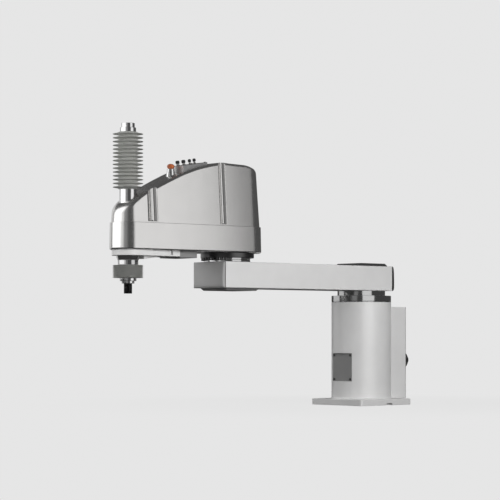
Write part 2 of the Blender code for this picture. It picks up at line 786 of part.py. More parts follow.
def make_shaft():
    low, high = SHAFT_Z
    at = (J3_X, 0.0, 0.0)
    turned("shaft", tube(SHAFT_R, SHAFT_BORE_R, low, high), SMALL_ROUND, at, STEEL, SHAFT)
    bottom = BOSS_TOP + GAP
    top = bottom + BELLOWS_CLOSED + STROKE
    upper_skin = tube(BELLOWS_R, BELLOWS_BORE_R, bottom, top)
    turned("upper_bellows", upper_skin, SMALL_ROUND, at, RUBBER, ARM2)
    lower_skin = tube(BELLOWS_R, BELLOWS_BORE_R, *LOWER_BELLOWS_Z)
    turned("lower_bellows", lower_skin, SMALL_ROUND, at, RUBBER, ARM2)
    spigot_r = BELLOWS_BORE_R - GAP
    upper = [
        (0.0205, high),
        (0.0205, high - 0.0136),
        (0.0245, high - 0.0136),
        (0.0245, top + GAP),
        (spigot_r, top + GAP),
        (spigot_r, top - 0.011),
        (0.0190, top - 0.011),
        (0.0190, top),
        (NUT_BORE_R, top),
        (NUT_BORE_R, high),
    ]
    turned("upper_collar", upper, SMALL_ROUND, at, CHROME, CARRIAGE)
    turned("upper_bearing", tube(0.0187, NUT_BORE_R, top - 0.0107, top - GAP), 24, at, STEEL, CARRIAGE)
    foot = LOWER_BELLOWS_Z[0]
    lower = [
        (spigot_r, foot + 0.011),
        (spigot_r, foot - GAP),
        (0.0255, foot - GAP),
        (0.0255, 0.3980),
        (0.0195, 0.3980),
        (0.0195, 0.3905),
        (NUT_BORE_R, 0.3905),
        (NUT_BORE_R, foot),
        (0.0190, foot),
        (0.0190, foot + 0.011),
    ]
    turned("lower_collar", lower, SMALL_ROUND, at, CHROME, CARRIAGE)
    ring = tube(0.0187, NUT_BORE_R, foot + GAP, foot + 0.0107)
    turned("lower_bearing", ring, 24, at, STEEL, CARRIAGE)


# ---- What stands on the head ----


def panel_z(x):
    """The height of the connector panel's sloping top."""
    return PANEL_TOP + (PANEL_X[1] - x) * PANEL_SLOPE


def make_head_fittings():
    """The signal lamp, the user's connector panel with its fittings, and the brake release button."""
    lamp = (LAMP_X, 0.0, 0.0)
    stem = [(0.0, 0.7475), (0.0110, 0.7475), (0.0150, 0.7200), (0.0150, 0.7000), (0.0, 0.7000)]
    turned("lamp_base", stem, 24, lamp, CHROME, ARM2)
    middle = 0.7545
    dome = [(0.0118 * math.sin(a), middle + 0.0080 * math.cos(a)) for a in (0.0, 0.4, 0.8, 1.2, 1.6, 2.0)]
    turned("lamp_lens", [*dome, (0.0095, 0.7478), (0.0, 0.7478)], 24, lamp, LENS, ARM2)
    back, front = PANEL_X
    wall = 0.003
    outline = [(front, 0.715), (front, PANEL_TOP), (back, panel_z(back)), (back, 0.715)]
    half = PANEL_HALF_Y
    panel = extruded("user_panel", outline, -half, half, PAINT_WHITE, ARM2, side=True)
    inner = [
        (front - wall, 0.700),
        (front - wall, panel_z(front - wall) - wall),
        (back + wall, panel_z(back + wall) - wall),
        (back + wall, 0.700),
    ]
    cut(panel, extruded("panel_inside", inner, wall - half, half - wall, side=True))
    for i, (x, radius) in enumerate(FITTINGS):
        profile = [
            (0.0, 0.004),
            (0.0025, 0.004),
            (0.0025, 0.0160),
            (radius, 0.0160),
            (radius, GAP),
            (0.0, GAP),
        ]
        at = (x, 0.0, panel_z(x))
        fitting = turned(f"user_fitting_{i + 1}", profile, TINY_ROUND, at, BLACK_PLASTIC, ARM2)
        fitting.rotation_euler = (0.0, math.atan(PANEL_SLOPE), 0.0)
    at = (BUTTON_X, 0.0, 0.0)
    turned("brake_release_button", rod(0.006, 0.752, 0.7715), TINY_ROUND, at, BLACK_PLASTIC, BUTTON)


clear_scene()
PARTS = new_collection("scara_robot_arm")
CUTTERS = new_collection("cutters")

CAST_WHITE = new_material("cast_white", (0.78, 0.78, 0.77), 0.45)
PAINT_WHITE = new_material("paint_white", (0.80, 0.80, 0.79), 0.40)
DARK_PAINT = new_material("dark_paint", (0.20, 0.20, 0.20), 0.50)
BLACK_PAINT = new_material("black_paint", (0.05, 0.05, 0.05), 0.50)
PLATED = new_material("plated", (0.70, 0.70, 0.68), 0.30, 1.0)
CHROME = new_material("chrome", (0.85, 0.85, 0.85), 0.08, 1.0)
DARK_STEEL = new_material("dark_steel", (0.25, 0.25, 0.26), 0.25, 1.0)
STEEL = new_material("steel", (0.60, 0.60, 0.60), 0.25, 1.0)
ALUMINIUM = new_material("aluminium", (0.75, 0.75, 0.75), 0.35, 1.0)
DARK_METAL = new_material("dark_metal", (0.10, 0.10, 0.10), 0.35, 1.0)
BRASS = new_material("brass", (0.72, 0.60, 0.36), 0.30, 1.0)
RUBBER = new_material("rubber", (0.22, 0.23, 0.21), 0.70)
BLACK_PLASTIC = new_material("black_plastic", (0.06, 0.06, 0.06), 0.45)
LENS = new_material("lens", (0.80, 0.16, 0.04), 0.15)

BASE = pivot("base_body")
J1_CAM = pivot("j1_cam_body")
ARM1 = pivot("arm1_body")
J2_CAM = pivot("j2_cam_body", (J2_X, 0.0, 0.0))
ARM2 = pivot("arm2_body", (J2_X, 0.0, 0.0))
SPLINE_NUT = pivot("spline_nut_body", (J3_X, 0.0, 0.0))
BALL_NUT = pivot("ball_nut_body", (J3_X, 0.0, 0.0))
Z_DRIVE = pivot("z_drive_body", (Z_MOTOR_X, 0.0, 0.0))
U_DRIVE = pivot("u_drive_body", (U_MOTOR_X, 0.0, 0.0))
CARRIAGE = pivot("carriage_body", (J3_X, 0.0, 0.0))
SHAFT = pivot("shaft_body", (J3_X, 0.0, 0.0))
BUTTON = pivot("button_body", (BUTTON_X, 0.0, 0.0))

make_base_casting()
make_rear_housing()
make_panel_ports()
make_front_cover()
make_j1_drive()
make_arm1_beam()
make_arm1_covers()
make_arm1_joint_rings()
make_j2_drive()
make_arm2_casting()
make_arm2_cover()
make_under_plates()
make_shaft_nuts()
make_motor_plate()
belt_drive("z", Z_MOTOR_X, Z_PULLEY_Z, BALL_NUT, Z_DRIVE)
belt_drive("u", U_MOTOR_X, U_PULLEY_Z, SPLINE_NUT, U_DRIVE)
make_shaft()
make_head_fittings()

for piece in PARTS.objects:
    if piece.type == "MESH":
        shade_round(piece)
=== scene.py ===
import math

import bmesh
import bpy
from mathutils import Matrix, Vector


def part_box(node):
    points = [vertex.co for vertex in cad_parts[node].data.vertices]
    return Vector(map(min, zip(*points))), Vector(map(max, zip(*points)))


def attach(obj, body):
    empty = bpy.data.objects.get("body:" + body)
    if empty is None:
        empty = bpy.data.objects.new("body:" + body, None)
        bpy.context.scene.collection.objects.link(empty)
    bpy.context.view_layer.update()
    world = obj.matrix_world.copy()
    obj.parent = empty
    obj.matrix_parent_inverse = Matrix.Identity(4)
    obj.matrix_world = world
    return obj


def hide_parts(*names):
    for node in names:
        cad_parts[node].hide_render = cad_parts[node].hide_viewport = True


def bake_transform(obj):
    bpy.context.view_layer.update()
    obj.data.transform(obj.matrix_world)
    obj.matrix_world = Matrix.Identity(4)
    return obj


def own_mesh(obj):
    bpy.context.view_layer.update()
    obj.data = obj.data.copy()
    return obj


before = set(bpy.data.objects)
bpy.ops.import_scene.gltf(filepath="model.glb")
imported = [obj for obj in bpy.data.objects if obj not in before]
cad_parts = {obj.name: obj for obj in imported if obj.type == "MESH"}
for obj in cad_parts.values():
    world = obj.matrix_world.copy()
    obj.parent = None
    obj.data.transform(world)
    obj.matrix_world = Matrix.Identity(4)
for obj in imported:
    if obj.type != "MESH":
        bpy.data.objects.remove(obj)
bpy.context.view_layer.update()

# The looks of a SCARA robot arm. Metres, +Z up: places come from the CAD nodes' boxes or are given here.

J1 = Vector((0.0, 0.0))
J2_X = 0.600
J3_X = 1.000
ROUND = 128
FINE_ROUND = 192
SMOOTH_ANGLE = math.radians(38)
FIT = 0.0003
TO_BACK = Matrix.Rotation(-math.pi / 2, 4, "Y")
TO_FRONT = Matrix.Rotation(math.pi / 2, 4, "Y")


def middle_of(node):
    low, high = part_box(node)
    return (low + high) / 2


# ---- Materials ----


class Surface:
    """A Principled material with its texture nodes."""

    def __init__(self, name, roughness, metallic=0.0):
        self.material = bpy.data.materials.new(name)
        self.material.use_nodes = True
        self.tree = self.material.node_tree
        self.shader = self.tree.nodes["Principled BSDF"]
        self.shader.inputs["Roughness"].default_value = roughness
        self.shader.inputs["Metallic"].default_value = metallic
        self.place = self.tree.nodes.new("ShaderNodeTexCoord").outputs["Object"]

    def link(self, output, target):
        self.tree.links.new(output, target)

    def noise(self, scale, detail=3.0, stretch=(1.0, 1.0, 1.0)):
        """A noise from 0 to 1 in object space. A stretch over 1 packs it closer along that axis."""
        mapping = self.tree.nodes.new("ShaderNodeMapping")
        mapping.inputs["Scale"].default_value = stretch
        self.link(self.place, mapping.inputs["Vector"])
        noise = self.tree.nodes.new("ShaderNodeTexNoise")
        noise.inputs["Scale"].default_value = scale
        noise.inputs["Detail"].default_value = detail
        self.link(mapping.outputs["Vector"], noise.inputs["Vector"])
        return noise.outputs["Fac"]

    def ramp(self, value, dark, light, start=0.3, end=0.7):
        """Colours between two ends, set by a value."""
        ramp = self.tree.nodes.new("ShaderNodeValToRGB")
        ramp.color_ramp.elements[0].position = start
        ramp.color_ramp.elements[0].color = (*dark, 1.0)
        ramp.color_ramp.elements[1].position = end
        ramp.color_ramp.elements[1].color = (*light, 1.0)
        self.link(value, ramp.inputs["Fac"])
        self.link(ramp.outputs["Color"], self.shader.inputs["Base Color"])

    def vary_roughness(self, value, least, most):
        spread = self.tree.nodes.new("ShaderNodeMapRange")
        spread.inputs["To Min"].default_value = least
        spread.inputs["To Max"].default_value = most
        self.link(value, spread.inputs["Value"])
        self.link(spread.outputs["Result"], self.shader.inputs["Roughness"])

    def bump(self, value, strength, distance=0.0002):
        bump = self.tree.nodes.new("ShaderNodeBump")
        bump.inputs["Strength"].default_value = strength
        bump.inputs["Distance"].default_value = distance
        self.link(value, bump.inputs["Height"])
        self.link(bump.outputs["Normal"], self.shader.inputs["Normal"])


def grey(value, warm=0.0):
    return (value * (1.0 + warm), value, value * (1.0 - warm))


def paint(name, value, roughness, metallic=0.0, warm=0.004):
    """Satin paint with a faint mottle and orange peel."""
    made = Surface(name, roughness, metallic)
    made.ramp(made.noise(14.0, 4.0), grey(value * 0.965, warm), grey(value * 1.02, warm))
    made.vary_roughness(made.noise(38.0, 5.0), roughness - 0.05, roughness + 0.07)
    made.bump(made.noise(900.0, 2.0), 0.10)
    return made.material


def machined(name, value, roughness, stretch, streak=0.10, warm=0.0):
    """Bare metal with streaks along its length, packed closer across them by the stretch."""
    made = Surface(name, roughness, 1.0)
    lines = made.noise(60.0, 6.0, stretch)
    made.ramp(lines, grey(value * (1.0 - streak), warm), grey(value, warm))
    made.vary_roughness(lines, roughness - 0.03, roughness + 0.06)
    made.bump(lines, 0.05)
    return made.material


def plated(name, value, roughness):
    """Satin plating on cast and moulded shells, with a very fine grain."""
    made = Surface(name, roughness, 1.0)
    made.ramp(made.noise(9.0, 4.0), grey(value * 0.975, 0.012), grey(value, 0.012))
    made.vary_roughness(made.noise(26.0, 6.0), roughness - 0.03, roughness + 0.04)
    made.bump(made.noise(1600.0, 3.0), 0.06, 0.0001)
    return made.material


def moulded(name, dark, light, roughness, grain=1200.0, strength=0.15):
    """Plastic or rubber with a moulded grain."""
    made = Surface(name, roughness)
    made.ramp(made.noise(22.0, 5.0), dark, light)
    made.vary_roughness(made.noise(60.0, 4.0), roughness - 0.05, roughness + 0.08)
    made.bump(made.noise(grain, 3.0), strength)
    return made.material


def coated_cloth():
    """The bellows' grey coated cloth, with the weave just showing through."""
    made = Surface("bellows_cloth", 0.55)
    made.ramp(made.noise(30.0, 5.0), (0.40, 0.405, 0.385), (0.50, 0.505, 0.485))
    made.vary_roughness(made.noise(70.0, 4.0), 0.48, 0.62)
    made.bump(made.noise(2200.0, 2.0), 0.25)
    return made.material


def lens_plastic():
    made = Surface("lens_plastic", 0.12)
    made.ramp(made.noise(120.0, 3.0), (0.42, 0.10, 0.030), (0.58, 0.16, 0.05))
    made.shader.inputs["Coat Weight"].default_value = 0.6
    return made.material


PAINT = paint("light_paint", 0.74, 0.36, 0.08)
COLUMN_PAINT = paint("column_paint", 0.72, 0.34, 0.10)
CAP_PAINT = paint("cap_paint", 0.46, 0.55)
BLACK_PAINT = paint("black_paint", 0.045, 0.40)
COVER_PAINT = paint("cover_paint", 0.235, 0.45)
PANEL_PAINT = paint("panel_paint", 0.36, 0.40)
PLATED = plated("satin_plate", 0.80, 0.24)
CHROME = machined("bright_chrome", 0.86, 0.09, (1.0, 1.0, 14.0), 0.04)
DARK_STEEL = machined("dark_steel", 0.66, 0.11, (1.0, 1.0, 18.0), 0.12)
SHAFT_STEEL = machined("shaft_steel", 0.030, 0.24, (1.0, 1.0, 12.0), 0.15)
SEAT_STEEL = machined("seat_steel", 0.66, 0.11, (1.0, 1.0, 14.0), 0.06)
STEEL = machined("plain_steel", 0.55, 0.28, (1.0, 1.0, 10.0))
BOLT_STEEL = machined("black_bolts", 0.15, 0.35, (1.0, 1.0, 6.0), 0.2)
ALUMINIUM = machined("cut_aluminium", 0.78, 0.33, (1.0, 8.0, 1.0), 0.08)
PANEL_METAL = machined("panel_metal", 0.60, 0.50, (1.0, 8.0, 1.0), 0.08)
NICKEL = machined("nickel_plate", 0.62, 0.25, (1.0, 6.0, 6.0), 0.08, 0.03)
MOTOR_BLACK = moulded("motor_black", (0.018, 0.018, 0.019), (0.035, 0.035, 0.036), 0.5, 700.0)
BLACK_PLASTIC = moulded("black_plastic", (0.012, 0.012, 0.013), (0.03, 0.03, 0.032), 0.38)
CONNECTOR_BLACK = machined("black_anodised", 0.22, 0.34, (8.0, 1.0, 1.0), 0.2)
BELT_RUBBER = moulded("belt_rubber", (0.015, 0.015, 0.015), (0.03, 0.03, 0.03), 0.7, 500.0, 0.3)
BELLOWS_CLOTH = coated_cloth()
LENS = lens_plastic()

INNER_LOOKS = (
    (MOTOR_BLACK, ("j1_motor", "j2_motor", "z_motor", "u_motor")),
    (ALUMINIUM, ("j1_motor_mount", "motor_plate")),
    (STEEL, ("j1_wave_generator", "j2_wave_generator", "spline_nut", "ball_nut")),
    (STEEL, ("upper_bearing", "lower_bearing")),
    (ALUMINIUM, ("z_nut_pulley", "u_nut_pulley", "z_motor_pulley", "u_motor_pulley")),
    (BELT_RUBBER, ("z_belt", "u_belt")),
)


# ---- Mesh making ----


def circle(radius, z, count=ROUND):
    turns = [2 * math.pi * i / count for i in range(count)]
    return [Vector((radius * math.cos(turn), radius * math.sin(turn), z)) for turn in turns]


def skin(shape, rings, loop=False):
    """Joins rings of points with the same count. The ends are capped, or joined in a loop."""
    made = [[shape.verts.new(point) for point in ring] for ring in rings]
    pairs = list(zip(made, made[1:]))
    if loop:
        pairs.append((made[-1], made[0]))
    count = len(made[0])
    for lower, upper in pairs:
        for i in range(count):
            j = (i + 1) % count
            shape.faces.new((lower[i], lower[j], upper[j], upper[i]))
    if not loop:
        shape.faces.new(made[0][::-1])
        shape.faces.new(made[-1])


def fillet(profile, radius, steps=4, closed=True):
    """Rounds a profile's corners, by at most 0.45 of each side."""
    points = [Vector(point) for point in profile]
    rounded = []
    count = len(points)
    for i, corner in enumerate(points):
        if not closed and i in (0, count - 1):
            rounded.append(corner)
            continue
        before = points[i - 1] - corner
        after = points[(i + 1) % count] - corner
        if before.angle(after) > math.radians(165):
            rounded.append(corner)
            continue
        reach = min(radius, 0.45 * before.length, 0.45 * after.length)
        start = corner + before.normalized() * reach
        end = corner + after.normalized() * reach
        for step in range(steps + 1):
            t = step / steps
            rounded.append(start * (1 - t) ** 2 + corner * 2 * t * (1 - t) + end * t * t)
    return [tuple(point) for point in rounded]


def to_object(name, shape, material):
    bmesh.ops.remove_doubles(shape, verts=shape.verts, dist=1e-7)
    bmesh.ops.recalc_face_normals(shape, faces=shape.faces)
    mesh = bpy.data.meshes.new(name)
    shape.to_mesh(mesh)
    shape.free()
    obj = bpy.data.objects.new(name, mesh)
    bpy.context.scene.collection.objects.link(obj)
    mesh.materials.append(material)
    shade(obj)
    return obj


def shade(obj):
    obj.data.shade_smooth()
    obj.data.set_sharp_from_angle(angle=SMOOTH_ANGLE)


def baked(obj):
    """The object with its modifiers applied."""
    bpy.context.view_layer.update()
    graph = bpy.context.evaluated_depsgraph_get()
    mesh = bpy.data.meshes.new_from_object(obj.evaluated_get(graph))
    obj.modifiers.clear()
    obj.data = mesh
    return obj


def turned(name, profile, at, material, round_by=0.0008, count=ROUND, matrix=None):
    """A turned piece from (radius, height) points. A profile that starts on the axis is solid there."""
    solid = profile[0][0] == 0.0
    points = fillet(profile, round_by, closed=not solid)
    shape = bmesh.new()
    if solid:
        points = points[1:-1]
    skin(shape, [circle(r, z, count) for r, z in points], loop=not solid)
    move = matrix or Matrix.Translation((at[0], at[1], 0.0))
    bmesh.ops.transform(shape, matrix=move, verts=shape.verts)
    return to_object(name, shape, material)


def block(name, low_corner, high_corner, material, bevel=0.002, segments=4):
    """A box with rounded edges."""
    shape = bmesh.new()
    size = [end - start for start, end in zip(low_corner, high_corner)]
    middle = [(start + end) / 2 for start, end in zip(low_corner, high_corner)]
    matrix = Matrix.Translation(middle) @ Matrix.Diagonal((*size, 1.0))
    bmesh.ops.create_cube(shape, size=1.0, matrix=matrix)
    if bevel:
        edges = shape.edges[:]
        bmesh.ops.bevel(shape, geom=edges, offset=bevel, segments=segments, profile=0.5, affect="EDGES")
    return to_object(name, shape, material)


def slab(name, levels, material):
    """An upright solid through plan outlines, each (outline, height)."""
    shape = bmesh.new()
    skin(shape, [[Vector((*point, z)) for point in outline] for outline, z in levels])
    return to_object(name, shape, material)


def extruded(name, outline, sides, material):
    """A solid with one (x, z) outline on both of its sides, which face along Y."""
    shape = bmesh.new()
    skin(shape, [[Vector((x, y, z)) for x, z in outline] for y in sides])
    return to_object(name, shape, material)


def section(low, high, inset, corner, steps):
    """A box's section across X, drawn in by an inset and with rounded corners, as (y, z) points."""
    y1, y2 = low.y + inset, high.y - inset
    z1, z2 = low.z + inset, high.z - inset
    return fillet([(y1, z1), (y2, z1), (y2, z2), (y1, z2)], corner, steps)


def square_tube(name, start, end, outer, inner, material):
    """A tube along X between two places, from its outer and inner sections."""
    shape = bmesh.new()
    spans = ((start, outer), (end, outer), (end, inner), (start, inner))
    skin(shape, [[Vector((x, *point)) for point in ring] for x, ring in spans], loop=True)
    return to_object(name, shape, material)


def soften(obj, width, segments=3, angle=40):
    """Rounds the sharp edges and keeps the flat faces flat."""
    edge = obj.modifiers.new("edges", "BEVEL")
    edge.width = width
    edge.segments = segments
    edge.limit_method = "ANGLE"
    edge.angle_limit = math.radians(angle)
    edge.harden_normals = True
    baked(obj)
    shade(obj)
    return obj


def cut(obj, *cutters):
    """Cuts meshes away and removes them."""
    for cutter in cutters:
        step = obj.modifiers.new("cut", "BOOLEAN")
        step.object = cutter
        step.operation = "DIFFERENCE"
        step.solver = "EXACT"
    baked(obj)
    for cutter in cutters:
        bpy.data.objects.remove(cutter, do_unlink=True)
    shade(obj)
    return obj


def rod_cutter(radius, bottom, top, at, count=64):
    profile = [(0.0, top), (radius, top), (radius, bottom), (0.0, bottom)]
    return turned("cutter", profile, at, PAINT, 0.0, count)


def box_cutter(low_corner, high_corner, bevel=0.0, segments=4):
    return block("cutter", low_corner, high_corner, PAINT, bevel, segments)


def grown(low, high, by):
    """The corners of a box made larger on every side."""
    return tuple(v - by for v in low), tuple(v + by for v in high)


def arc(centre, radius, start, end, steps):
    angles = [start + (end - start) * i / steps for i in range(steps + 1)]
    return [(centre[0] + radius * math.cos(turn), centre[1] + radius * math.sin(turn)) for turn in angles]


def rounded_rectangle(low_corner, high_corner, radius, steps=8):
    quarter = math.pi / 2
    corners = (
        (high_corner[0] - radius, high_corner[1] - radius),
        (low_corner[0] + radius, high_corner[1] - radius),
        (low_corner[0] + radius, low_corner[1] + radius),
        (high_corner[0] - radius, low_corner[1] + radius),
    )
    points = []
    for i, corner in enumerate(corners):
        points += arc(corner, radius, i * quarter, (i + 1) * quarter, steps)
    return points


def settle_normals(obj):
    """Lets the large faces set the shading, so that flat and straight ones stay true up to their edges."""
    step = obj.modifiers.new("normals", "WEIGHTED_NORMAL")
    step.weight = 90
    step.keep_sharp = True
    baked(obj)


def put(obj, body, *nodes):
    """The piece rides on a body and stands for CAD nodes, which are hidden."""
    settle_normals(obj)
    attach(obj, body)
    if nodes:
        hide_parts(*nodes)
    return obj


def hex_ring(across, z, count):
    """Points on a hexagon, one for each turn of a round ring."""
    points = []
    for i in range(count):
        angle = 2 * math.pi * i / count
        within = (angle % (math.pi / 3)) - math.pi / 6
        radius = across / 2 / math.cos(within)
        points.append(Vector((radius * math.cos(angle), radius * math.sin(angle), z)))
    return points


def skin_at(shape, matrix, rings):
    skin(shape, [[matrix @ point for point in ring] for ring in rings])


def add_pin(shape, matrix, profile, count):
    """A small solid rod from (radius, height) points."""
    skin_at(shape, matrix, [circle(r, z, count) for r, z in profile])


def add_screw(shape, matrix, radius, height, across):
    """A socket head screw, standing up along the matrix's Z from its foot."""
    count = 36
    edge = 0.12 * radius
    rings = [
        circle(radius, 0.0, count),
        circle(radius, height - edge, count),
        circle(radius - edge * 0.3, height - edge * 0.3, count),
        circle(radius - edge, height, count),
        circle(across * 0.68, height, count),
        hex_ring(across, height - 0.04 * radius, count),
        hex_ring(across, height * 0.45, count),
    ]
    skin_at(shape, matrix, rings)


def screws(name, matrices, radius, height, across, material, body, *nodes):
    shape = bmesh.new()
    for matrix in matrices:
        add_screw(shape, matrix, radius, height, across)
    put(to_object(name, shape, material), body, *nodes)


# ---- Base ----

BASE_PLATE_TOP = 0.020
BASE_BOLT_AT = 0.100
BASE_BOLT_R = 0.008
COLUMN_R = 0.100
COLUMN_BORE_R = 0.082
ROUND_PORTS = (
    ("power_connector", 0.0158),
    ("signal_connector", 0.0128),
    ("air_port_1", 0.0053),
    ("air_port_2", 0.0053),
)
DATA_PORTS = (("dsub_port_15", 8), ("dsub_port_9", 3))


def square_plan(half, corner):
    return rounded_rectangle((-half, -half), (half, half), corner)


def make_base_plate():
    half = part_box("base_casting")[1].x
    outline = square_plan(half, 0.008)
    levels = [(square_plan(half - 0.0008, 0.0075), 0.0), (outline, 0.0008)]
    levels += [(outline, BASE_PLATE_TOP - 0.0012), (square_plan(half - 0.0012, 0.007), BASE_PLATE_TOP)]
    plate = slab("base_plate", levels, COLUMN_PAINT)
    for x in (-BASE_BOLT_AT, BASE_BOLT_AT):
        for y in (-BASE_BOLT_AT, BASE_BOLT_AT):
            cut(plate, rod_cutter(BASE_BOLT_R, -0.010, 0.030, (x, y)))
    cut(plate, box_cutter((-0.028, half - 0.016, -0.008), (0.0, half + 0.010, 0.007), 0.003))
    put(plate, "base", "base_casting")


def make_base_column():
    """The column with its seat for the front cover, and its openings to the front and the rear box."""
    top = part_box("base_casting")[1].z
    quarter = [math.pi / 2 * i / 6 for i in range(6, -1, -1)]
    ease = 0.007
    profile = [(COLUMN_BORE_R, top), (COLUMN_R - 0.0008, top), (COLUMN_R, top - 0.0008)]
    for turn in quarter:
        out, up = ease * (1 - math.sin(turn)), ease * (1 - math.cos(turn))
        profile.append((COLUMN_R + out, BASE_PLATE_TOP + up))
    sunk = BASE_PLATE_TOP - 0.0004
    profile += [(COLUMN_R + ease, sunk), (COLUMN_BORE_R, sunk)]
    column = turned("base_column", profile, J1, COLUMN_PAINT, 0.0, FINE_ROUND)
    low, high = grown(*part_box("front_cover_plate"), 0.0004)
    cut(
        column,
        box_cutter(low, (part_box("front_cover_plate")[1].x + 0.030, *high[1:])),
        box_cutter((0.060, -0.030, 0.090), (0.095, 0.030, 0.158)),
        box_cutter((-0.120, -0.045, 0.060), (-0.060, 0.045, 0.300)),
        box_cutter((-0.120, -0.0706, 0.0201), (-0.0716, 0.0706, 0.029)),
    )
    put(column, "base", "base_casting")


def make_front_cover():
    low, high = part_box("front_cover_plate")
    put(block("front_cover", low, high, COVER_PAINT, 0.0007, 3), "base", "front_cover_plate")
    nodes = [f"front_cover_screw_{i}" for i in (1, 2, 3, 4)]
    places = []
    for node in nodes:
        middle = middle_of(node)
        places.append(Matrix.Translation((high.x, middle.y, middle.z)) @ TO_FRONT)
    screws("front_cover_screws", places, 0.0042, 0.0021, 0.003, BOLT_STEEL, "base", *nodes)


def make_rear_housing():
    low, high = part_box("rear_housing")
    outer = section(low, high, 0.0, 0.0030, 5)
    inner = section(low, high, 0.004, 0.0010, 5)
    housing = square_tube("rear_box", low.x, -0.060, outer, inner, PAINT)
    cut(housing, rod_cutter(COLUMN_R + 0.0003, 0.0, 0.400, J1, FINE_ROUND))
    put(housing, "base", "rear_housing")


def on_panel(node):
    """A place on the rear panel's face in front of a node's middle, facing out."""
    middle = middle_of(node)
    return Matrix.Translation((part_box("rear_panel")[0].x, middle.y, middle.z)) @ TO_BACK


def make_rear_panel():
    low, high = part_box("rear_panel")
    panel = block("rear_sheet", low, high, PANEL_PAINT, 0.0008, 3)
    holes = []
    for node, radius in ROUND_PORTS:
        profile = [(0.0, 0.020), (radius, 0.020), (radius, -0.020), (0.0, -0.020)]
        holes.append(turned("cutter", profile, J1, PAINT, 0.0, 48, on_panel(node)))
    for node, _ in DATA_PORTS:
        start, end = grown(*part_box(node), FIT)
        depth = 0.020 - FIT
        holes.append(box_cutter((start[0] - depth, *start[1:]), (end[0] + depth, *end[1:])))
    cut(panel, *holes)
    put(panel, "base", "rear_panel")
    edge = 0.006
    places = []
    for y in (-0.064, 0.064):
        for z in (low.z + edge, (low.z + high.z) / 2, high.z - edge):
            places.append(Matrix.Translation((low.x, y, z)) @ TO_BACK)
    screws("rear_panel_screws", places, 0.0030, 0.0018, 0.0026, STEEL, "base")


def panel_reach(node):
    """How far a port stands out from the rear panel's face, and how far it goes in."""
    low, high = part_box(node)
    panel_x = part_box("rear_panel")[0].x
    return panel_x - low.x, high.x - panel_x


def make_socket(name, node, flange_r, barrel_r):
    """A round panel socket: a flange ring with screws, a ribbed coupling nut and a deep mouth with pins."""
    reach, depth = panel_reach(node)
    mouth_r = barrel_r - 0.0045
    groove_r = barrel_r - 0.0006
    profile = [(0.0, reach - 0.016), (mouth_r, reach - 0.016), (mouth_r, reach), (barrel_r, reach)]
    start, end = reach - 0.003, 0.014
    ribs = 5
    step = (start - end) / ribs
    for i in range(ribs):
        z = start + (end - start) * i / ribs
        profile += [(barrel_r, z), (barrel_r, z - step * 0.5)]
        profile += [(groove_r, z - step * 0.55), (groove_r, z - step * 0.95)]
    profile += [(barrel_r, end), (barrel_r, 0.0120), (flange_r - 0.0012, 0.0120), (flange_r, 0.0108)]
    profile += [(flange_r, 0.0003), (barrel_r, 0.0003), (barrel_r, -depth), (0.0, -depth)]
    matrix = on_panel(node)
    put(turned(name, profile, J1, CONNECTOR_BLACK, 0.0004, 72, matrix), "base", node)
    places = []
    for angle in [math.pi / 4 + math.pi / 2 * i for i in range(4)]:
        spot = Vector((math.cos(angle), math.sin(angle), 0.0)) * (flange_r - 0.0038)
        spot.z = 0.0118
        places.append(matrix @ Matrix.Translation(spot))
    screws(name + "_screws", places, 0.0019, 0.0018, 0.0018, STEEL, "base")
    pins = bmesh.new()
    pin = ((0.0009, 0.0), (0.0009, 0.0085), (0.0004, 0.0095))
    pins_r = 0.0058
    for angle in [math.pi / 3 * i for i in range(6)]:
        spot = (pins_r * math.cos(angle), pins_r * math.sin(angle), reach - 0.0165)
        add_pin(pins, matrix @ Matrix.Translation(spot), pin, 16)
    put(to_object(name + "_pins", pins, NICKEL), "base")


def make_data_port(node, row_pins):
    """A shell with a mouth, an insert in the mouth and two rows of pins."""
    low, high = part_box(node)
    shell = block(node + "_shell", low, high, STEEL, 0.0015, 4)
    side, edge = 0.0012, 0.0030
    mouth_low = (low.x - 0.010, low.y + side, low.z + edge)
    mouth_high = (low.x + 0.0050, high.y - side, high.z - edge)
    cut(shell, box_cutter(mouth_low, mouth_high, 0.0012, 3))
    put(shell, "base", node)
    insert_low = (low.x + 0.0030, low.y + side + 0.0001, low.z + edge + 0.0001)
    insert_high = (low.x + 0.0052, high.y - side - 0.0001, high.z - edge - 0.0001)
    put(block(node + "_insert", insert_low, insert_high, BLACK_PLASTIC, 0.0004, 2), "base")
    pins = bmesh.new()
    pin = ((0.0005, -0.0002), (0.0005, 0.0020), (0.0002, 0.0024))
    width = high.y - low.y - 0.0050
    pitch = min(0.00277, width / max(1, row_pins - 1))
    middle = middle_of(node)
    for row, z in enumerate((-0.0014, 0.0014)):
        count = row_pins - row
        for i in range(count):
            y = (i - (count - 1) / 2) * pitch
            spot = (low.x + 0.0031, middle.y + y, middle.z + z)
            add_pin(pins, Matrix.Translation(spot) @ TO_BACK, pin, 12)
    put(to_object(node + "_pins", pins, NICKEL), "base")


def make_air_port(i):
    node = f"air_port_{i}"
    reach, depth = panel_reach(node)
    profile = [(0.003, reach), (0.0048, reach), (0.0050, reach - 0.003), (0.0044, reach - 0.0045)]
    profile += [(0.0044, 0.0080), (0.0050, 0.0075), (0.0050, -depth), (0.003, -depth)]
    fitting = turned(f"air_fitting_{i}", profile, J1, NICKEL, 0.0004, 48, on_panel(node))
    put(fitting, "base", node)


def make_ports():
    make_socket("power_socket", "power_connector", 0.0298, 0.0155)
    make_socket("signal_socket", "signal_connector", 0.0210, 0.0125)
    for node, row_pins in DATA_PORTS:
        make_data_port(node, row_pins)
    for i in (1, 2):
        make_air_port(i)


# ---- Joint 1 ----


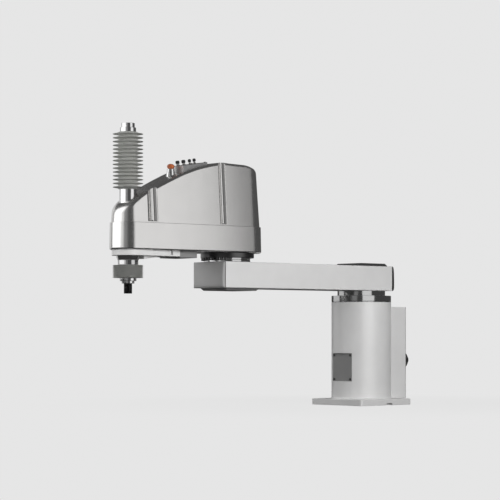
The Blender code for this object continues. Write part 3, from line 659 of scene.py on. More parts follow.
def make_joint_1_rings():
    low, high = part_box("j1_reducer_ring")
    line_z = low.z + 0.0341
    profile = [(COLUMN_R, high.z), (COLUMN_R, line_z + 0.0007), (0.0990, line_z + 0.0005)]
    profile += [(0.0990, line_z - 0.0005), (COLUMN_R, line_z - 0.0007), (COLUMN_R, 0.3438)]
    profile += [(0.0812, 0.3438), (0.0812, low.z), (0.0450, low.z), (0.0450, high.z)]
    ring = turned("shoulder_ring", profile, J1, DARK_STEEL, 0.0006, FINE_ROUND)
    put(ring, "base", "j1_reducer_ring")
    low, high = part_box("j1_output_flange")
    profile = [(0.0800, high.z), (0.0800, 0.3655), (0.0440, 0.3655)]
    profile += [(0.0440, low.z), (0.0260, low.z), (0.0260, high.z)]
    flange = turned("shoulder_flange", profile, J1, DARK_STEEL, 0.0006, FINE_ROUND)
    put(flange, "arm1", "j1_output_flange")


# ---- Arm 1 ----


def make_beam():
    low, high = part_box("arm1_beam")
    outer = section(low, high, 0.0, 0.0032, 6)
    inner = section(low, high, 0.008, 0.0032, 6)
    beam = square_tube("upper_arm", low.x, high.x, outer, inner, PAINT)
    cut(
        beam,
        box_cutter((-0.050, -0.050, 0.450), (0.050, 0.050, 0.470)),
        box_cutter((0.545, -0.050, 0.375), (0.640, 0.050, 0.395)),
        rod_cutter(0.026, 0.370, 0.400, J1),
        rod_cutter(0.050, 0.450, 0.470, (J2_X, 0.0)),
    )
    put(beam, "arm1", "arm1_beam")


CAP_PROFILE = (
    (0.45, 0.3820), (0.80, 0.3850), (0.97, 0.3910), (1.00, 0.4000), (0.99, 0.4200), (0.94, 0.4380),
    (0.83, 0.4510), (0.65, 0.4600), (0.45, 0.4640),
)


def cap_share(z):
    """How much of its depth a cap has at this height."""
    for (s1, z1), (s2, z2) in zip(CAP_PROFILE, CAP_PROFILE[1:]):
        if z <= z2:
            break
    return s1 + (s2 - s1) * (z - z1) / (z2 - z1)


def cap_heights(bottom, top):
    """Heights up a cap's face, closer together near its edges."""
    ends = [0.0002, 0.0006, 0.0012, 0.0020, 0.0030, 0.0042, 0.0056]
    middle = [bottom + 0.0075 + (top - bottom - 0.015) * i / 20 for i in range(21)]
    return [bottom, *[bottom + d for d in ends], *middle, *[top - d for d in ends[::-1]], top]


def cap_widths(half, corner):
    """Places across a cap's face, closer together at its cut corners."""
    across = [corner * 1.3 * i / 12 for i in range(13)]
    flat = [half * (i / 6 - 1) * 0.85 for i in range(1, 12)]
    return [d - half for d in across] + flat + [half - d for d in across[::-1]]


def end_cap(name, node, outward, corner, material):
    """The cap on an open end of the beam, fullest low down, with its upright corners cut."""
    low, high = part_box(node)
    root = low.x if outward > 0 else high.x
    deep = high.x - low.x
    half = high.y
    ys = cap_widths(half, corner)
    zs = cap_heights(low.z, high.z)

    def face_at(y, z):
        crown = sum(cap_share(z + d) for d in (-0.002, -0.001, 0.0, 0.001, 0.002)) / 5 * deep
        slope = 0.0036 + (half - abs(y)) / corner * (deep - 0.0026)
        gap = max(0.0, 1 - abs(crown - slope) / 0.0016)
        edge = max(0.0, 1 - min(z - low.z, high.z - z) / 0.0030)
        return max(0.0032, min(crown, slope) - 0.0004 * gap * gap - 0.0026 * edge * edge)

    shape = bmesh.new()
    front = [[shape.verts.new((root + outward * face_at(y, z), y, z)) for y in ys] for z in zs]
    seam = root + outward * 0.0028
    back = [[shape.verts.new((seam, y, z)) for y in ys] for z in zs]
    rows, columns = len(zs), len(ys)
    for grid in (front, back):
        for i in range(rows - 1):
            for j in range(columns - 1):
                shape.faces.new((grid[i][j], grid[i][j + 1], grid[i + 1][j + 1], grid[i + 1][j]))
    for i in range(rows - 1):
        for j in (0, columns - 1):
            shape.faces.new((front[i][j], front[i + 1][j], back[i + 1][j], back[i][j]))
    for j in range(columns - 1):
        for i in (0, rows - 1):
            shape.faces.new((front[i][j], front[i][j + 1], back[i][j + 1], back[i][j]))
    put(to_object(name, shape, material), "arm1", node)
    # A black rubber strip between the cap and the beam: painted shade that stands for the shadow line in the
    # seam gap.
    inset = 0.0002
    near, far = sorted((root, root + outward * 0.0029))
    corners = (near, inset - half, low.z + inset), (far, half - inset, high.z - inset)
    put(block(name + "_painted_seam_shade", *corners, BELT_RUBBER, 0.0), "arm1")


def chamfered_plate(name, node, material, body, downwards=False):
    """A plate with sloped edges, wide on the face that it is fixed by."""
    low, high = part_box(node)
    thick = high.z - low.z
    slope = 0.0060
    shares = ((0.0, 0.0), (0.02, 0.10), (0.12, 0.20), (0.90, 0.90), (0.98, 0.97), (1.10, 1.0))
    levels = []
    for in_share, up_share in shares:
        inset = slope * in_share
        start, end = (low.x + inset, low.y + inset), (high.x - inset, high.y - inset)
        rise = thick * up_share
        z = high.z - rise if downwards else low.z + rise
        levels.append((rounded_rectangle(start, end, 0.0045), z))
    put(slab(name, levels, material), body, node)


def make_arm_1():
    make_beam()
    end_cap("front_cap", "arm1_front_cap", 1, 0.0070, CAP_PAINT)
    end_cap("rear_cap", "arm1_rear_cap", -1, 0.0035, BLACK_PAINT)
    chamfered_plate("shoulder_cover", "arm1_top_cover", BLACK_PAINT, "arm1")
    chamfered_plate("elbow_under_cover", "arm1_bottom_cover", COVER_PAINT, "arm1", True)


# ---- Joint 2 ----


def make_joint_2_rings():
    at = (J2_X, 0.0)
    low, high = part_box("j2_reducer_ring")
    line_z = 0.4713
    ring_r = 0.0725
    profile = [(ring_r, high.z), (ring_r, line_z + 0.0007), (0.0716, line_z + 0.0005)]
    profile += [(0.0716, line_z - 0.0005), (ring_r, line_z - 0.0007), (ring_r, 0.4643)]
    profile += [(0.0495, 0.4643), (0.0495, low.z), (0.0340, low.z), (0.0340, high.z)]
    ring = turned("elbow_ring", profile, at, DARK_STEEL, 0.0006, FINE_ROUND)
    put(ring, "arm1", "j2_reducer_ring")
    low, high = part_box("j2_output_flange")
    under = 0.4770
    profile = [(0.0845, high.z), (0.0845, under), (0.0330, under)]
    profile += [(0.0330, low.z), (0.0265, low.z), (0.0265, high.z)]
    flange = turned("elbow_flange", profile, at, BOLT_STEEL, 0.0010, FINE_ROUND)
    put(flange, "arm2", "j2_output_flange")
    upside_down = Matrix.Rotation(math.pi, 4, "X")
    bolts_r = 0.0785
    places = []
    for angle in [math.radians(45 - 10.5 * step) for step in range(13)]:
        spot = (J2_X + bolts_r * math.cos(angle), bolts_r * math.sin(angle), under - 0.0001)
        places.append(Matrix.Translation(spot) @ upside_down)
    screws("elbow_flange_screws", places, 0.0042, 0.0085, 0.0050, BOLT_STEEL, "arm2")


# ---- Head ----

NOSE_R = 0.0567
REAR_R = 0.060
REAR_X = 0.560
REAR_Y = 0.0265
SEAM = 0.575
COVER_STEP = 0.0055
COVER_DRAFT = math.tan(math.radians(3.7))
COVER_WALL = 0.003
TOP_LINE = (
    (1.060, 0.610), (1.038, 0.628), (1.014, 0.640), (0.970, 0.665), (0.925, 0.686), (0.872, 0.711),
    (0.822, 0.733), (0.768, 0.752), (0.717, 0.764), (0.672, 0.773), (0.642, 0.771), (0.575, 0.769),
    (0.533, 0.757), (0.510, 0.738), (0.492, 0.712),
)
ACROSS = 16


def side_angle():
    """The direction that the head's +Y side faces."""
    along = (J3_X - REAR_X, -REAR_Y)
    return math.atan2(along[1], along[0]) + math.acos((REAR_R - NOSE_R) / math.hypot(*along))


def half_plan():
    """(point, outward direction) pairs from the nose's tip round the +Y side to the flat rear."""

    def round_part(centre, radius, turn):
        facing = (math.cos(turn), math.sin(turn))
        return (centre[0] + radius * facing[0], centre[1] + radius * facing[1]), facing

    side = side_angle()
    rear = (REAR_X, REAR_Y)
    points = [round_part((J3_X, 0.0), NOSE_R, side * i / 32) for i in range(33)]
    start = points[-1][0]
    end, facing = round_part(rear, REAR_R, side)
    for t in [i / 60 for i in range(1, 60)]:
        points.append(((start[0] + (end[0] - start[0]) * t, start[1] + (end[1] - start[1]) * t), facing))
    points += [round_part(rear, REAR_R, side + (math.pi - side) * i / 24) for i in range(25)]
    return points


def full_plan():
    """The whole plan, in order: the tip, the +Y side, the flat rear and the -Y side."""
    half = half_plan()
    rear = half[-1][0]
    flat = [((rear[0], rear[1] * (1 - 2 * i / ACROSS)), (-1.0, 0.0)) for i in range(1, ACROSS)]
    other = [((p[0], -p[1]), (n[0], -n[1])) for p, n in half[:0:-1]]
    return half + flat + other


def plan_ring(inset, z):
    return [Vector((p[0] - n[0] * inset, p[1] - n[1] * inset, z)) for p, n in full_plan()]


def on_line(x):
    """The cover's top line, straight between its points."""
    for (x1, z1), (x2, z2) in zip(TOP_LINE, TOP_LINE[1:]):
        if x >= x2:
            break
    return z1 + (z2 - z1) * (x - x1) / (x2 - x1)


def top_at(x):
    """The cover's top line with its corners eased."""
    reach = [i * 0.0025 for i in range(-4, 5)]
    return sum(on_line(x + d) for d in reach) / len(reach)


def rim_radius(x):
    """The rounding of the cover's top edge, which grows toward the nose."""
    t = min(1.0, max(0.0, (x - 0.96) / 0.09))
    return 0.009 + 0.013 * t * t * (3 - 2 * t)


def cover_shell(name, inset, drop, floor, material):
    """The cover's drafted walls, rounded rim and sloping top."""
    plan = full_plan()
    half_count = len(half_plan())

    def spot(p, n, z, more):
        back = COVER_STEP + inset + (z - SEAM) * COVER_DRAFT + more
        return Vector((p[0] - n[0] * back, p[1] - n[1] * back, z))

    def rim_spot(p, n, turn):
        radius = rim_radius(p[0])
        more = radius * (1 - math.cos(turn))
        z = 0.700
        for _ in range(12):
            x = spot(p, n, z, more).x
            z = top_at(x) - drop - radius * (1 - math.sin(turn))
        return spot(p, n, z, more)

    turns = [math.pi / 2 * i / 10 for i in range(11)]
    rings = [[spot(p, n, floor, 0.0) for p, n in plan]]
    rings += [[rim_spot(p, n, turn) for p, n in plan] for turn in turns]
    shape = bmesh.new()
    made = [[shape.verts.new(point) for point in ring] for ring in rings]
    count = len(plan)
    for lower, upper in zip(made, made[1:]):
        for i in range(count):
            j = (i + 1) % count
            shape.faces.new((lower[i], lower[j], upper[j], upper[i]))
    shape.faces.new(made[0][::-1])
    top = made[-1]
    rows = []
    for i in range(1, half_count - 1):
        left, right = top[i], top[count - i]
        row = [left]
        for k in range(1, ACROSS):
            row.append(shape.verts.new(left.co.lerp(right.co, k / ACROSS)))
        rows.append(row + [right])
    rows.append(top[half_count - 1 : half_count + ACROSS])
    for k in range(ACROSS):
        shape.faces.new((top[0], rows[0][k], rows[0][k + 1]))
    for upper, lower in zip(rows, rows[1:]):
        for k in range(ACROSS):
            shape.faces.new((upper[k], lower[k], lower[k + 1], upper[k + 1]))
    return to_object(name, shape, material)


LAMP_X = 0.832
GROOVES = ((0.9455, 0.038), (0.677, 0.028))
GROOVE_DEEP = 0.009
GROOVE_FOOT = 0.5785


def wall_y(x, z):
    """Where the cover's straight +Y side is."""
    side = side_angle()
    back = COVER_STEP + (z - SEAM) * COVER_DRAFT
    return (NOSE_R - back - (x - J3_X) * math.cos(side)) / math.sin(side)


def groove(x, width, side, grow):
    """An upright channel in the cover's side, open at the top, with rounded inner corners."""
    wide = width / 2 + grow
    deep = GROOVE_DEEP + grow
    shelf = wide - 0.15 * width
    foot = shelf - 0.27 * width
    far = 0.008 - wide
    outside = 0.030
    plan = [(wide, outside), (wide, -0.25 * deep), (shelf, -0.32 * deep), (foot, -deep)]
    plan += [(far, -deep), (-wide, 0.0), (-wide, outside)]
    plan = fillet(plan, 0.0035, 6)
    rings = []
    for z in (GROOVE_FOOT - grow, 0.830):
        edge = wall_y(x, z)
        rings.append([Vector((x + u, side * (edge + v), z)) for u, v in plan])
    shape = bmesh.new()
    skin(shape, rings)
    return to_object("cutter", shape, PAINT)


def make_cover():
    cover = cover_shell("head_cover", 0.0, 0.0, SEAM + FIT, PLATED)
    inside = cover_shell("cutter", COVER_WALL, COVER_WALL, SEAM - 0.010, PLATED)
    for x, width in GROOVES:
        for side in (-1, 1):
            cut(cover, groove(x, width, side, 0.0))
            cut(inside, groove(x, width, side, COVER_WALL))
    start, end = grown(*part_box("user_panel"), FIT)
    cut(
        cover,
        inside,
        rod_cutter(0.0268, 0.560, 0.700, (J3_X, 0.0), 96),
        rod_cutter(0.0153, 0.690, 0.760, (LAMP_X, 0.0)),
        rod_cutter(0.0064, 0.740, 0.790, (0.698, 0.0)),
        box_cutter((*start[:2], 0.700), (*end[:2], 0.800)),
    )
    put(cover, "arm2", "arm2_cover")
    places = []
    for x, _ in GROOVES:
        for side in (-1, 1):
            y = side * (wall_y(x, GROOVE_FOOT) - 0.0043)
            places.append(Matrix.Translation((x, y, GROOVE_FOOT)))
    screws("cover_screws", places, 0.0036, 0.0040, 0.0034, STEEL, "arm2")


def make_casting():
    """The open lower shell of the head, and the posts in it that carry the motor plate."""
    bottom, top = 0.492, SEAM - FIT
    round_by = 0.006
    wall = 0.006
    floor = bottom + 0.010
    turns = [math.pi / 2 * i / 8 for i in range(9)]
    rings = [
        plan_ring(round_by * (1 - math.sin(turn)), bottom + round_by * (1 - math.cos(turn))) for turn in turns
    ]
    for inset, z in (
        (0.00147, top - 0.0008),
        (0.0021, top),
        (wall, top),
        (wall, floor + 0.001),
        (wall + 0.001, floor),
    ):
        rings.append(plan_ring(inset, z))
    shape = bmesh.new()
    skin(shape, rings)
    casting = to_object("head_casting", shape, PLATED)
    cut(
        casting,
        rod_cutter(0.030, 0.480, 0.510, (J2_X, 0.0)),
        rod_cutter(0.0215, 0.480, 0.510, (J3_X, 0.0)),
    )
    put(casting, "arm2", "arm2_casting")
    posts = bmesh.new()
    post = ((0.006, floor + 0.0001), (0.006, 0.5602))
    for x in (0.930, 0.750):
        for y in (-0.042, 0.042):
            add_pin(posts, Matrix.Translation((x, y, 0.0)), post, 24)
    put(to_object("plate_posts", posts, PLATED), "arm2")


def make_under_plates():
    low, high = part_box("shaft_plate")
    edge = 0.0008

    def plan(inset):
        half = high.y - inset
        nose = arc((J3_X, 0.0), half, -math.pi / 2, math.pi / 2, 48)
        return [*nose, (low.x + inset, half), (low.x + inset, -half)]

    levels = [(plan(edge), low.z), (plan(0.0), low.z + edge), (plan(0.0), high.z)]
    plate = slab("shaft_plate_cover", levels, PAINT)
    for side in (-1, 1):
        near, far = sorted((side * 0.040, side * 0.060))
        cut(plate, box_cutter((0.8640, near, 0.4790), (0.8715, far, 0.5000)))
    cut(plate, rod_cutter(0.0215, 0.470, 0.500, (J3_X, 0.0)))
    put(plate, "arm2", "shaft_plate")
    put(block("head_under_cover", *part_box("under_cover"), COVER_PAINT, 0.0012, 3), "arm2", "under_cover")


def make_nut_housings():
    at = (J3_X, 0.0)
    bore = 0.0193
    low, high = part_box("spline_nut_housing")
    seat = [(0.0367, high.z), (0.0324, 0.4616), (0.0310, 0.4612)]
    seat += [(0.0310, low.z), (bore, low.z), (bore, high.z)]
    put(turned("lower_seat", seat, at, SEAT_STEEL, 0.0006, 96), "arm2", "spline_nut_housing")
    outline = [(0.9625, 0.4650), (0.9625, high.z), (0.900, high.z), (0.900, 0.4733)]
    rib = extruded("seat_rib", outline, (-0.030, 0.030), PAINT)
    soften(rib, 0.0004, 2)
    put(rib, "arm2", "spline_nut_housing")
    low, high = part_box("ball_nut_housing")
    neck_r, flange_r = 0.0265, 0.0360
    boss = [(neck_r, high.z), (neck_r, 0.5768), (flange_r, 0.5768), (flange_r, 0.5708)]
    boss += [(neck_r, 0.5708), (neck_r, low.z), (bore, low.z), (bore, high.z)]
    put(turned("shaft_boss", boss, at, CHROME, 0.0008, 96), "arm2", "ball_nut_housing")


# ---- Shaft ----

SHAFT_R = 0.0125
SHAFT_BORE_R = 0.009
SHAFT_CHAMFER = 0.0008
SHAFT_ROUND = 96
SCREW_LEAD = 0.020


def shaft_ring(z, bottom, top):
    """The shaft's outline at one height, with its screw groove and three straight ball tracks."""
    near_end = min(z - bottom, top - z)
    deep = 0.0014 * min(1.0, max(0.0, (near_end - 0.0015) / 0.0025))
    chamfer = max(0.0, SHAFT_CHAMFER - near_end)
    grooves = [(2 * math.pi * z / SCREW_LEAD, 0.30)]
    grooves += [(2 * math.pi * track / 3, 0.13) for track in range(3)]

    def hollow(angle):
        offs = [abs((angle - at + math.pi) % (2 * math.pi) - math.pi) / half for at, half in grooves]
        return max(0.0, 1 - min(offs) ** 2)

    points = []
    for angle in [2 * math.pi * i / SHAFT_ROUND for i in range(SHAFT_ROUND)]:
        r = SHAFT_R - deep * hollow(angle) - chamfer
        points.append(Vector((J3_X + r * math.cos(angle), r * math.sin(angle), z)))
    return points


def make_shaft():
    """The hollow ball screw spline shaft."""
    low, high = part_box("shaft")
    levels = 260
    start = low.z + SHAFT_CHAMFER
    span = high.z - low.z - 2 * SHAFT_CHAMFER
    heights = [low.z, *[start + span * i / levels for i in range(levels)], high.z - SHAFT_CHAMFER, high.z]
    rings = [shaft_ring(z, low.z, high.z) for z in heights]
    for z in (high.z, low.z):
        rings.append([point + Vector((J3_X, 0.0, 0.0)) for point in circle(SHAFT_BORE_R, z, SHAFT_ROUND)])
    shape = bmesh.new()
    skin(shape, rings, loop=True)
    put(to_object("spline_shaft", shape, SHAFT_STEEL), "shaft_body", "shaft")


def make_collars():
    at = (J3_X, 0.0)
    bore, seat_r, cuff_r = 0.0128, 0.0190, 0.0222
    low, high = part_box("upper_collar")
    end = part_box("upper_bellows")[1].z
    step = high.z - 0.0136
    upper = [(0.0205, high.z), (0.0205, step), (0.0245, step), (0.0245, end + FIT), (cuff_r, end + FIT)]
    upper += [(cuff_r, low.z), (seat_r, low.z), (seat_r, end), (bore, end), (bore, high.z)]
    put(turned("top_collar", upper, at, CHROME, 0.0009, 96), "carriage", "upper_collar")
    low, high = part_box("lower_collar")
    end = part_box("lower_bellows")[0].z
    step = 0.3980
    lower = [(cuff_r, high.z), (cuff_r, end - FIT), (0.0255, end - FIT), (0.0255, step), (0.0195, step)]
    lower += [(0.0195, low.z), (bore, low.z), (bore, end), (seat_r, end), (seat_r, high.z)]
    put(turned("bottom_collar", lower, at, CHROME, 0.0009, 96), "carriage", "lower_collar")
    places = []
    for angle in [math.radians(degrees) for degrees in (20, 110, 200, 290)]:
        spot = (J3_X + 0.0252 * math.cos(angle), 0.0252 * math.sin(angle), 0.4024)
        places.append(Matrix.Translation(spot) @ Matrix.Rotation(angle, 4, "Z") @ TO_FRONT)
    screws("bottom_collar_screws", places, 0.0022, 0.0012, 0.0020, BOLT_STEEL, "carriage")


FOLDS = 15
FOLD_TIP_R = 0.0463
FOLD_ROOT_R = 0.0285
CLOTH_THICK = 0.0011
CUFF_R = 0.0226
CUFF_THICK = 0.0016


def fold_profile(bottom, pitch, folds, tip, plump):
    """Folds of cloth, from root to root, going up. The tips are pinched and stitched."""
    thin = min(0.0011, pitch * plump)
    near_root = FOLD_ROOT_R + 0.0016
    points = [(FOLD_ROOT_R, bottom)]
    for k in range(folds):
        foot = bottom + k * pitch
        middle = foot + pitch / 2
        half = [(FOLD_TIP_R - tip, thin), (FOLD_TIP_R - tip * 0.3, thin * 0.75), (FOLD_TIP_R, thin * 0.3)]
        points.append((near_root, foot + pitch * 0.17))
        points += [(r, middle - up) for r, up in half]
        points += [(r, middle + up) for r, up in half[::-1]]
        points += [(near_root, foot + pitch * 0.83), (FOLD_ROOT_R, foot + pitch)]
    return points


def cloth(name, profile, low_cuff=None, high_cuff=None):
    """A closed skin: the folds outside and the same folds inside, joined at both ends."""
    inner = [(r - CLOTH_THICK, z) for r, z in profile]
    low_z, high_z = profile[0][1], profile[-1][1]
    around = list(profile)
    if high_cuff:
        around += [(high_cuff, high_z), (high_cuff, high_z - CUFF_THICK)]
    around += inner[::-1]
    if low_cuff:
        around += [(low_cuff, low_z + CUFF_THICK), (low_cuff, low_z)]
    shape = bmesh.new()
    skin(shape, [circle(r, z, 72) for r, z in around], loop=True)
    bmesh.ops.translate(shape, verts=shape.verts, vec=(J3_X, 0.0, 0.0))
    return to_object(name, shape, BELLOWS_CLOTH)


def make_upper_bellows():
    """The upper bellows as one skin of folds, with a mesh of its own."""
    low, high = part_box("upper_bellows")
    length = high.z - low.z
    profile = fold_profile(low.z, length / FOLDS, FOLDS, 0.0030, 0.16)
    bellows = put(cloth("top_bellows", profile, 0.0272, CUFF_R), "arm2", "upper_bellows")
    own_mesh(bellows)


def make_lower_bellows():
    """One skin per fold, each baked in place."""
    low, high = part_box("lower_bellows")
    pitch = (high.z - low.z) / FOLDS
    for k in range(FOLDS):
        top = high.z - k * pitch
        profile = fold_profile(top - pitch, pitch, 1, 0.0018, 0.29)
        low_cuff = CUFF_R if k == FOLDS - 1 else None
        high_cuff = CUFF_R if k == 0 else None
        fold = cloth(f"lower_bellows_fold_{k + 1}", profile, low_cuff, high_cuff)
        settle_normals(fold)
        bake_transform(fold)
        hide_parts("lower_bellows")


# ---- On the head ----


def make_lamp():
    at = (LAMP_X, 0.0)
    low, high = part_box("lamp_base")
    drops = [(0.0098, 0.0), (0.0110, 0.0008), (0.0114, 0.004)]
    drops += [(0.0128, 0.013), (0.0148, 0.024), (0.0150, 0.028)]
    profile = [(0.0, high.z), *[(r, high.z - drop) for r, drop in drops], (0.0150, low.z), (0.0, low.z)]
    put(turned("lamp_stem", profile, at, CHROME, 0.0008, 72), "arm2", "lamp_base")
    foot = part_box("lamp_lens")[0].z
    middle = 0.7545
    turns = [2.15 * i / 24 for i in range(25)]
    dome = [(0.0118 * math.sin(turn), middle + 0.0080 * math.cos(turn)) for turn in turns]
    profile = [*dome, (0.0094, foot + 0.0010), (0.0092, foot), (0.0, foot)]
    put(turned("lamp_dome", profile, at, LENS, 0.0, 72), "arm2", "lamp_lens")


PANEL_SLOPE = 0.165
FITTINGS = ((0.803, 0.0066), (0.7794, 0.0066), (0.7549, 0.0052), (0.7358, 0.0052))


def panel_z(x):
    """The height of the connector panel's sloping top."""
    low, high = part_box("user_panel")
    return high.z - (x - low.x) * PANEL_SLOPE


def make_fitting(i, x, r, lean):
    """A push-in fitting: its black head and its plated stem."""
    tall = 0.0160
    drops = [(0.0042, 0.0), (0.0020, 0.0004), (0.0004, 0.0022)]
    drops += [(0.0, 0.0048), (0.0003, 0.0080), (0.0018, 0.0104)]
    head = [(0.0, tall - 0.0004), *[(r - inset, tall - drop) for inset, drop in drops], (0.0, tall - 0.0108)]
    neck = tall - 0.0111
    stem = [(0.0, neck), (r - 0.0020, neck), (r - 0.0024, 0.0030)]
    stem += [(r - 0.0006, 0.0026), (r - 0.0006, 0.0004), (0.0, 0.0004)]
    matrix = Matrix.Translation((x, 0.0, panel_z(x))) @ lean
    body = turned(f"quick_fitting_{i}", head, J1, BLACK_PLASTIC, 0.0003, 48, matrix)
    put(body, "arm2", f"user_fitting_{i}")
    put(turned(f"fitting_stem_{i}", stem, J1, NICKEL, 0.0003, 48, matrix), "arm2")


def make_user_panel():
    low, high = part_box("user_panel")
    wall = 0.003
    outline = [(high.x, low.z), (high.x, panel_z(high.x)), (low.x, high.z), (low.x, low.z)]
    panel = extruded("connector_panel", outline, (low.y, high.y), PANEL_METAL)
    soften(panel, 0.0015, 3)
    front, back, foot = high.x - wall, low.x + wall, low.z - 0.010
    inner = [(front, foot), (front, panel_z(front) - wall), (back, panel_z(back) - wall), (back, foot)]
    cut(panel, extruded("cutter", inner, (low.y + wall, high.y - wall), PLATED))
    put(panel, "arm2", "user_panel")
    lean = Matrix.Rotation(math.atan(PANEL_SLOPE), 4, "Y")
    for i, (x, r) in enumerate(FITTINGS):
        make_fitting(i + 1, x, r, lean)
    edge = 0.006
    places = []
    for x in (low.x + edge, high.x - edge):
        for y in (low.y + edge, high.y - edge):
            places.append(Matrix.Translation((x, y, panel_z(x))) @ lean)
    screws("connector_panel_screws", places, 0.0030, 0.0018, 0.0026, BOLT_STEEL, "arm2")


def make_button():
    low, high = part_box("brake_release_button")
    middle = middle_of("brake_release_button")
    r = 0.006
    tall = high.z - low.z
    profile = [(0.0, tall - 0.0006), (r - 0.002, tall - 0.0003), (r - 0.0006, tall - 0.0008)]
    profile += [(r, tall - 0.0020), (r, 0.0), (0.0, 0.0)]
    matrix = Matrix.Translation((middle.x, middle.y, low.z))
    button = turned("brake_button", profile, J1, BLACK_PLASTIC, 0.0003, 48, matrix)
    put(button, "button_body", "brake_release_button")


def dress_inner_nodes():
    for material, nodes in INNER_LOOKS:
        for node in nodes:
            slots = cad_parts[node].data.materials
            slots.clear()
            slots.append(material)


# ---- Studio ----

BACKDROP = 0.79
FLOOR_GLOW = 0.05
ROOM_BAND = 0.08
ROOM_ABOVE = 0.09
FLOOR_HALF = 400.0
SHADOW_SHARE = 0.06


class Nodes:
    """An empty node tree, and short ways to fill it."""

    def __init__(self, owner):
        owner.use_nodes = True
        self.tree = owner.node_tree
        self.tree.nodes.clear()

    def new(self, kind, **values):
        node = self.tree.nodes.new(kind)
        for name, value in values.items():
            node.inputs[name.replace("_", " ")].default_value = value
        return node

    def link(self, output, target):
        self.tree.links.new(output, target)


def even(value):
    return (value, value, value, 1.0)


def make_floor():
    """A bright floor that takes a faint shadow close to the robot."""
    shape = bmesh.new()
    bmesh.ops.create_grid(shape, x_segments=1, y_segments=1, size=FLOOR_HALF)
    mesh = bpy.data.meshes.new("studio_floor")
    shape.to_mesh(mesh)
    shape.free()
    floor = bpy.data.objects.new("studio_floor", mesh)
    floor.location.z = -0.0005
    bpy.context.scene.collection.objects.link(floor)
    material = bpy.data.materials.new("studio_floor")
    nodes = Nodes(material)
    glow = nodes.new("ShaderNodeEmission", Color=even(BACKDROP))
    matte = nodes.new("ShaderNodeBsdfDiffuse", Color=even(0.8))
    place = nodes.new("ShaderNodeTexCoord")
    distance = nodes.new("ShaderNodeVectorMath")
    distance.operation = "LENGTH"
    near = nodes.new("ShaderNodeMapRange", From_Min=0.3, From_Max=1.4, To_Min=SHADOW_SHARE, To_Max=0.0)
    near.interpolation_type = "SMOOTHERSTEP"
    mix = nodes.new("ShaderNodeMixShader")
    out = nodes.new("ShaderNodeOutputMaterial")
    nodes.link(place.outputs["Object"], distance.inputs[0])
    nodes.link(distance.outputs["Value"], near.inputs["Value"])
    nodes.link(near.outputs["Result"], mix.inputs["Fac"])
    nodes.link(glow.outputs["Emission"], mix.inputs[1])
    nodes.link(matte.outputs["BSDF"], mix.inputs[2])
    nodes.link(mix.outputs["Shader"], out.inputs["Surface"])
    mesh.materials.append(material)
    floor.visible_glossy = False
    floor.visible_diffuse = False


def make_world():
    """Straight to the eye, an even backdrop. Everything else gets a dim room with a lighter low band."""
    world = bpy.data.worlds.new("studio")
    bpy.context.scene.world = world
    nodes = Nodes(world)
    coordinates = nodes.new("ShaderNodeTexCoord")
    split = nodes.new("ShaderNodeSeparateXYZ")
    ramp = nodes.new("ShaderNodeValToRGB")
    heights = nodes.new("ShaderNodeMapRange", From_Min=-1.0)
    lowest, highest = ramp.color_ramp.elements
    lowest.position = 0.49
    lowest.color = even(FLOOR_GLOW)
    highest.position = 0.65
    highest.color = even(ROOM_ABOVE)
    ramp.color_ramp.elements.new(0.51).color = even(ROOM_BAND)
    room = nodes.new("ShaderNodeBackground")
    sight = nodes.new("ShaderNodeBackground", Color=even(BACKDROP))
    path = nodes.new("ShaderNodeLightPath")
    mix = nodes.new("ShaderNodeMixShader")
    out = nodes.new("ShaderNodeOutputWorld")
    nodes.link(coordinates.outputs["Generated"], split.inputs["Vector"])
    nodes.link(split.outputs["Z"], heights.inputs["Value"])
    nodes.link(heights.outputs["Result"], ramp.inputs["Fac"])
    nodes.link(ramp.outputs["Color"], room.inputs["Color"])
    nodes.link(path.outputs["Is Camera Ray"], mix.inputs["Fac"])
    nodes.link(room.outputs["Background"], mix.inputs[1])
    nodes.link(sight.outputs["Background"], mix.inputs[2])
    nodes.link(mix.outputs["Shader"], out.inputs["Surface"])


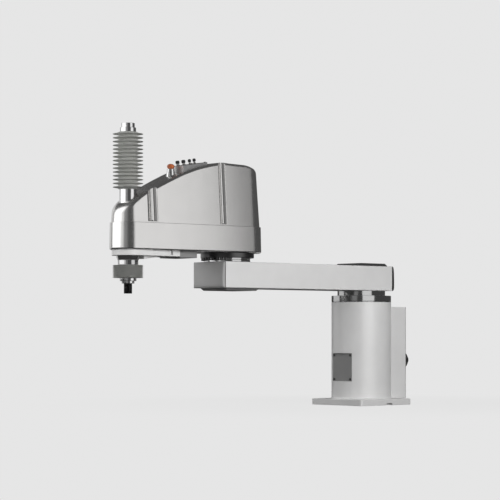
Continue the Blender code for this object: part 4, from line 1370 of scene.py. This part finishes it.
def softbox(name, at, target, width, height, radiance, reflected=True):
    """A rectangular light. Its brightness is given as radiance, so its size doesn't change it."""
    data = bpy.data.lights.new(name, "AREA")
    data.shape = "RECTANGLE"
    data.size = width
    data.size_y = height
    data.energy = radiance * math.pi * width * height
    light = bpy.data.objects.new(name, data)
    bpy.context.scene.collection.objects.link(light)
    facing = (Vector(target) - Vector(at)).to_track_quat("-Z", "Y")
    light.matrix_world = Matrix.Translation(at) @ facing.to_matrix().to_4x4()
    light.visible_glossy = reflected


def make_camera():
    data = bpy.data.cameras.new("camera")
    data.lens = 142.07
    data.sensor_width = 36.0
    data.shift_y = 0.1664
    data.clip_end = 1500.0
    camera = bpy.data.objects.new("camera", data)
    bpy.context.scene.collection.objects.link(camera)
    up = Vector((0.0, 0.0, 1.0))
    forward = Vector((-0.6676, -0.7445, 0.0)).normalized()
    turn = Matrix((forward.cross(up), up, -forward)).transposed()
    camera.matrix_world = Matrix.Translation((4.716, 4.698, 0.2398)) @ turn.to_4x4()
    bpy.context.scene.camera = camera


make_base_plate()
make_base_column()
make_front_cover()
make_rear_housing()
make_rear_panel()
make_ports()
make_joint_1_rings()
make_arm_1()
make_joint_2_rings()
make_casting()
make_cover()
make_under_plates()
make_nut_housings()
make_shaft()
make_collars()
make_upper_bellows()
make_lower_bellows()
make_lamp()
make_user_panel()
make_button()
dress_inner_nodes()
make_floor()
make_world()
softbox("key", (0.440, 1.15, 0.65), (0.440, 0.0, 0.65), 1.05, 1.30, 0.80)
softbox("front", (1.75, -0.605, 1.06), (1.0, -0.605, 1.06), 1.43, 1.22, 1.4)
softbox("front_side", (1.75, 0.225, 1.06), (1.0, 0.225, 1.06), 0.23, 1.22, 0.7)
softbox("front_end", (2.20, 0.80, 0.60), (1.0, 0.0, 0.60), 0.80, 1.50, 0.16)
softbox("side_fill", (1.0, 3.6, 1.3), (0.4, 0.0, 0.4), 3.4, 2.4, 4.2, False)
softbox("front_fill", (3.8, -1.7, 1.1), (0.5, 0.0, 0.4), 2.4, 2.4, 1.25, False)
softbox("back_key", (0.75, -1.5, 0.70), (0.75, 0.0, 0.60), 1.40, 1.40, 0.60)
softbox("back_fill", (-2.4, -2.4, 1.3), (0.3, 0.0, 0.3), 2.4, 2.4, 1.4, False)
softbox("left_fill", (0.6, -3.4, 1.2), (0.4, 0.0, 0.4), 2.8, 2.0, 1.2, False)
make_camera()
bpy.context.scene.view_settings.view_transform = "Standard"
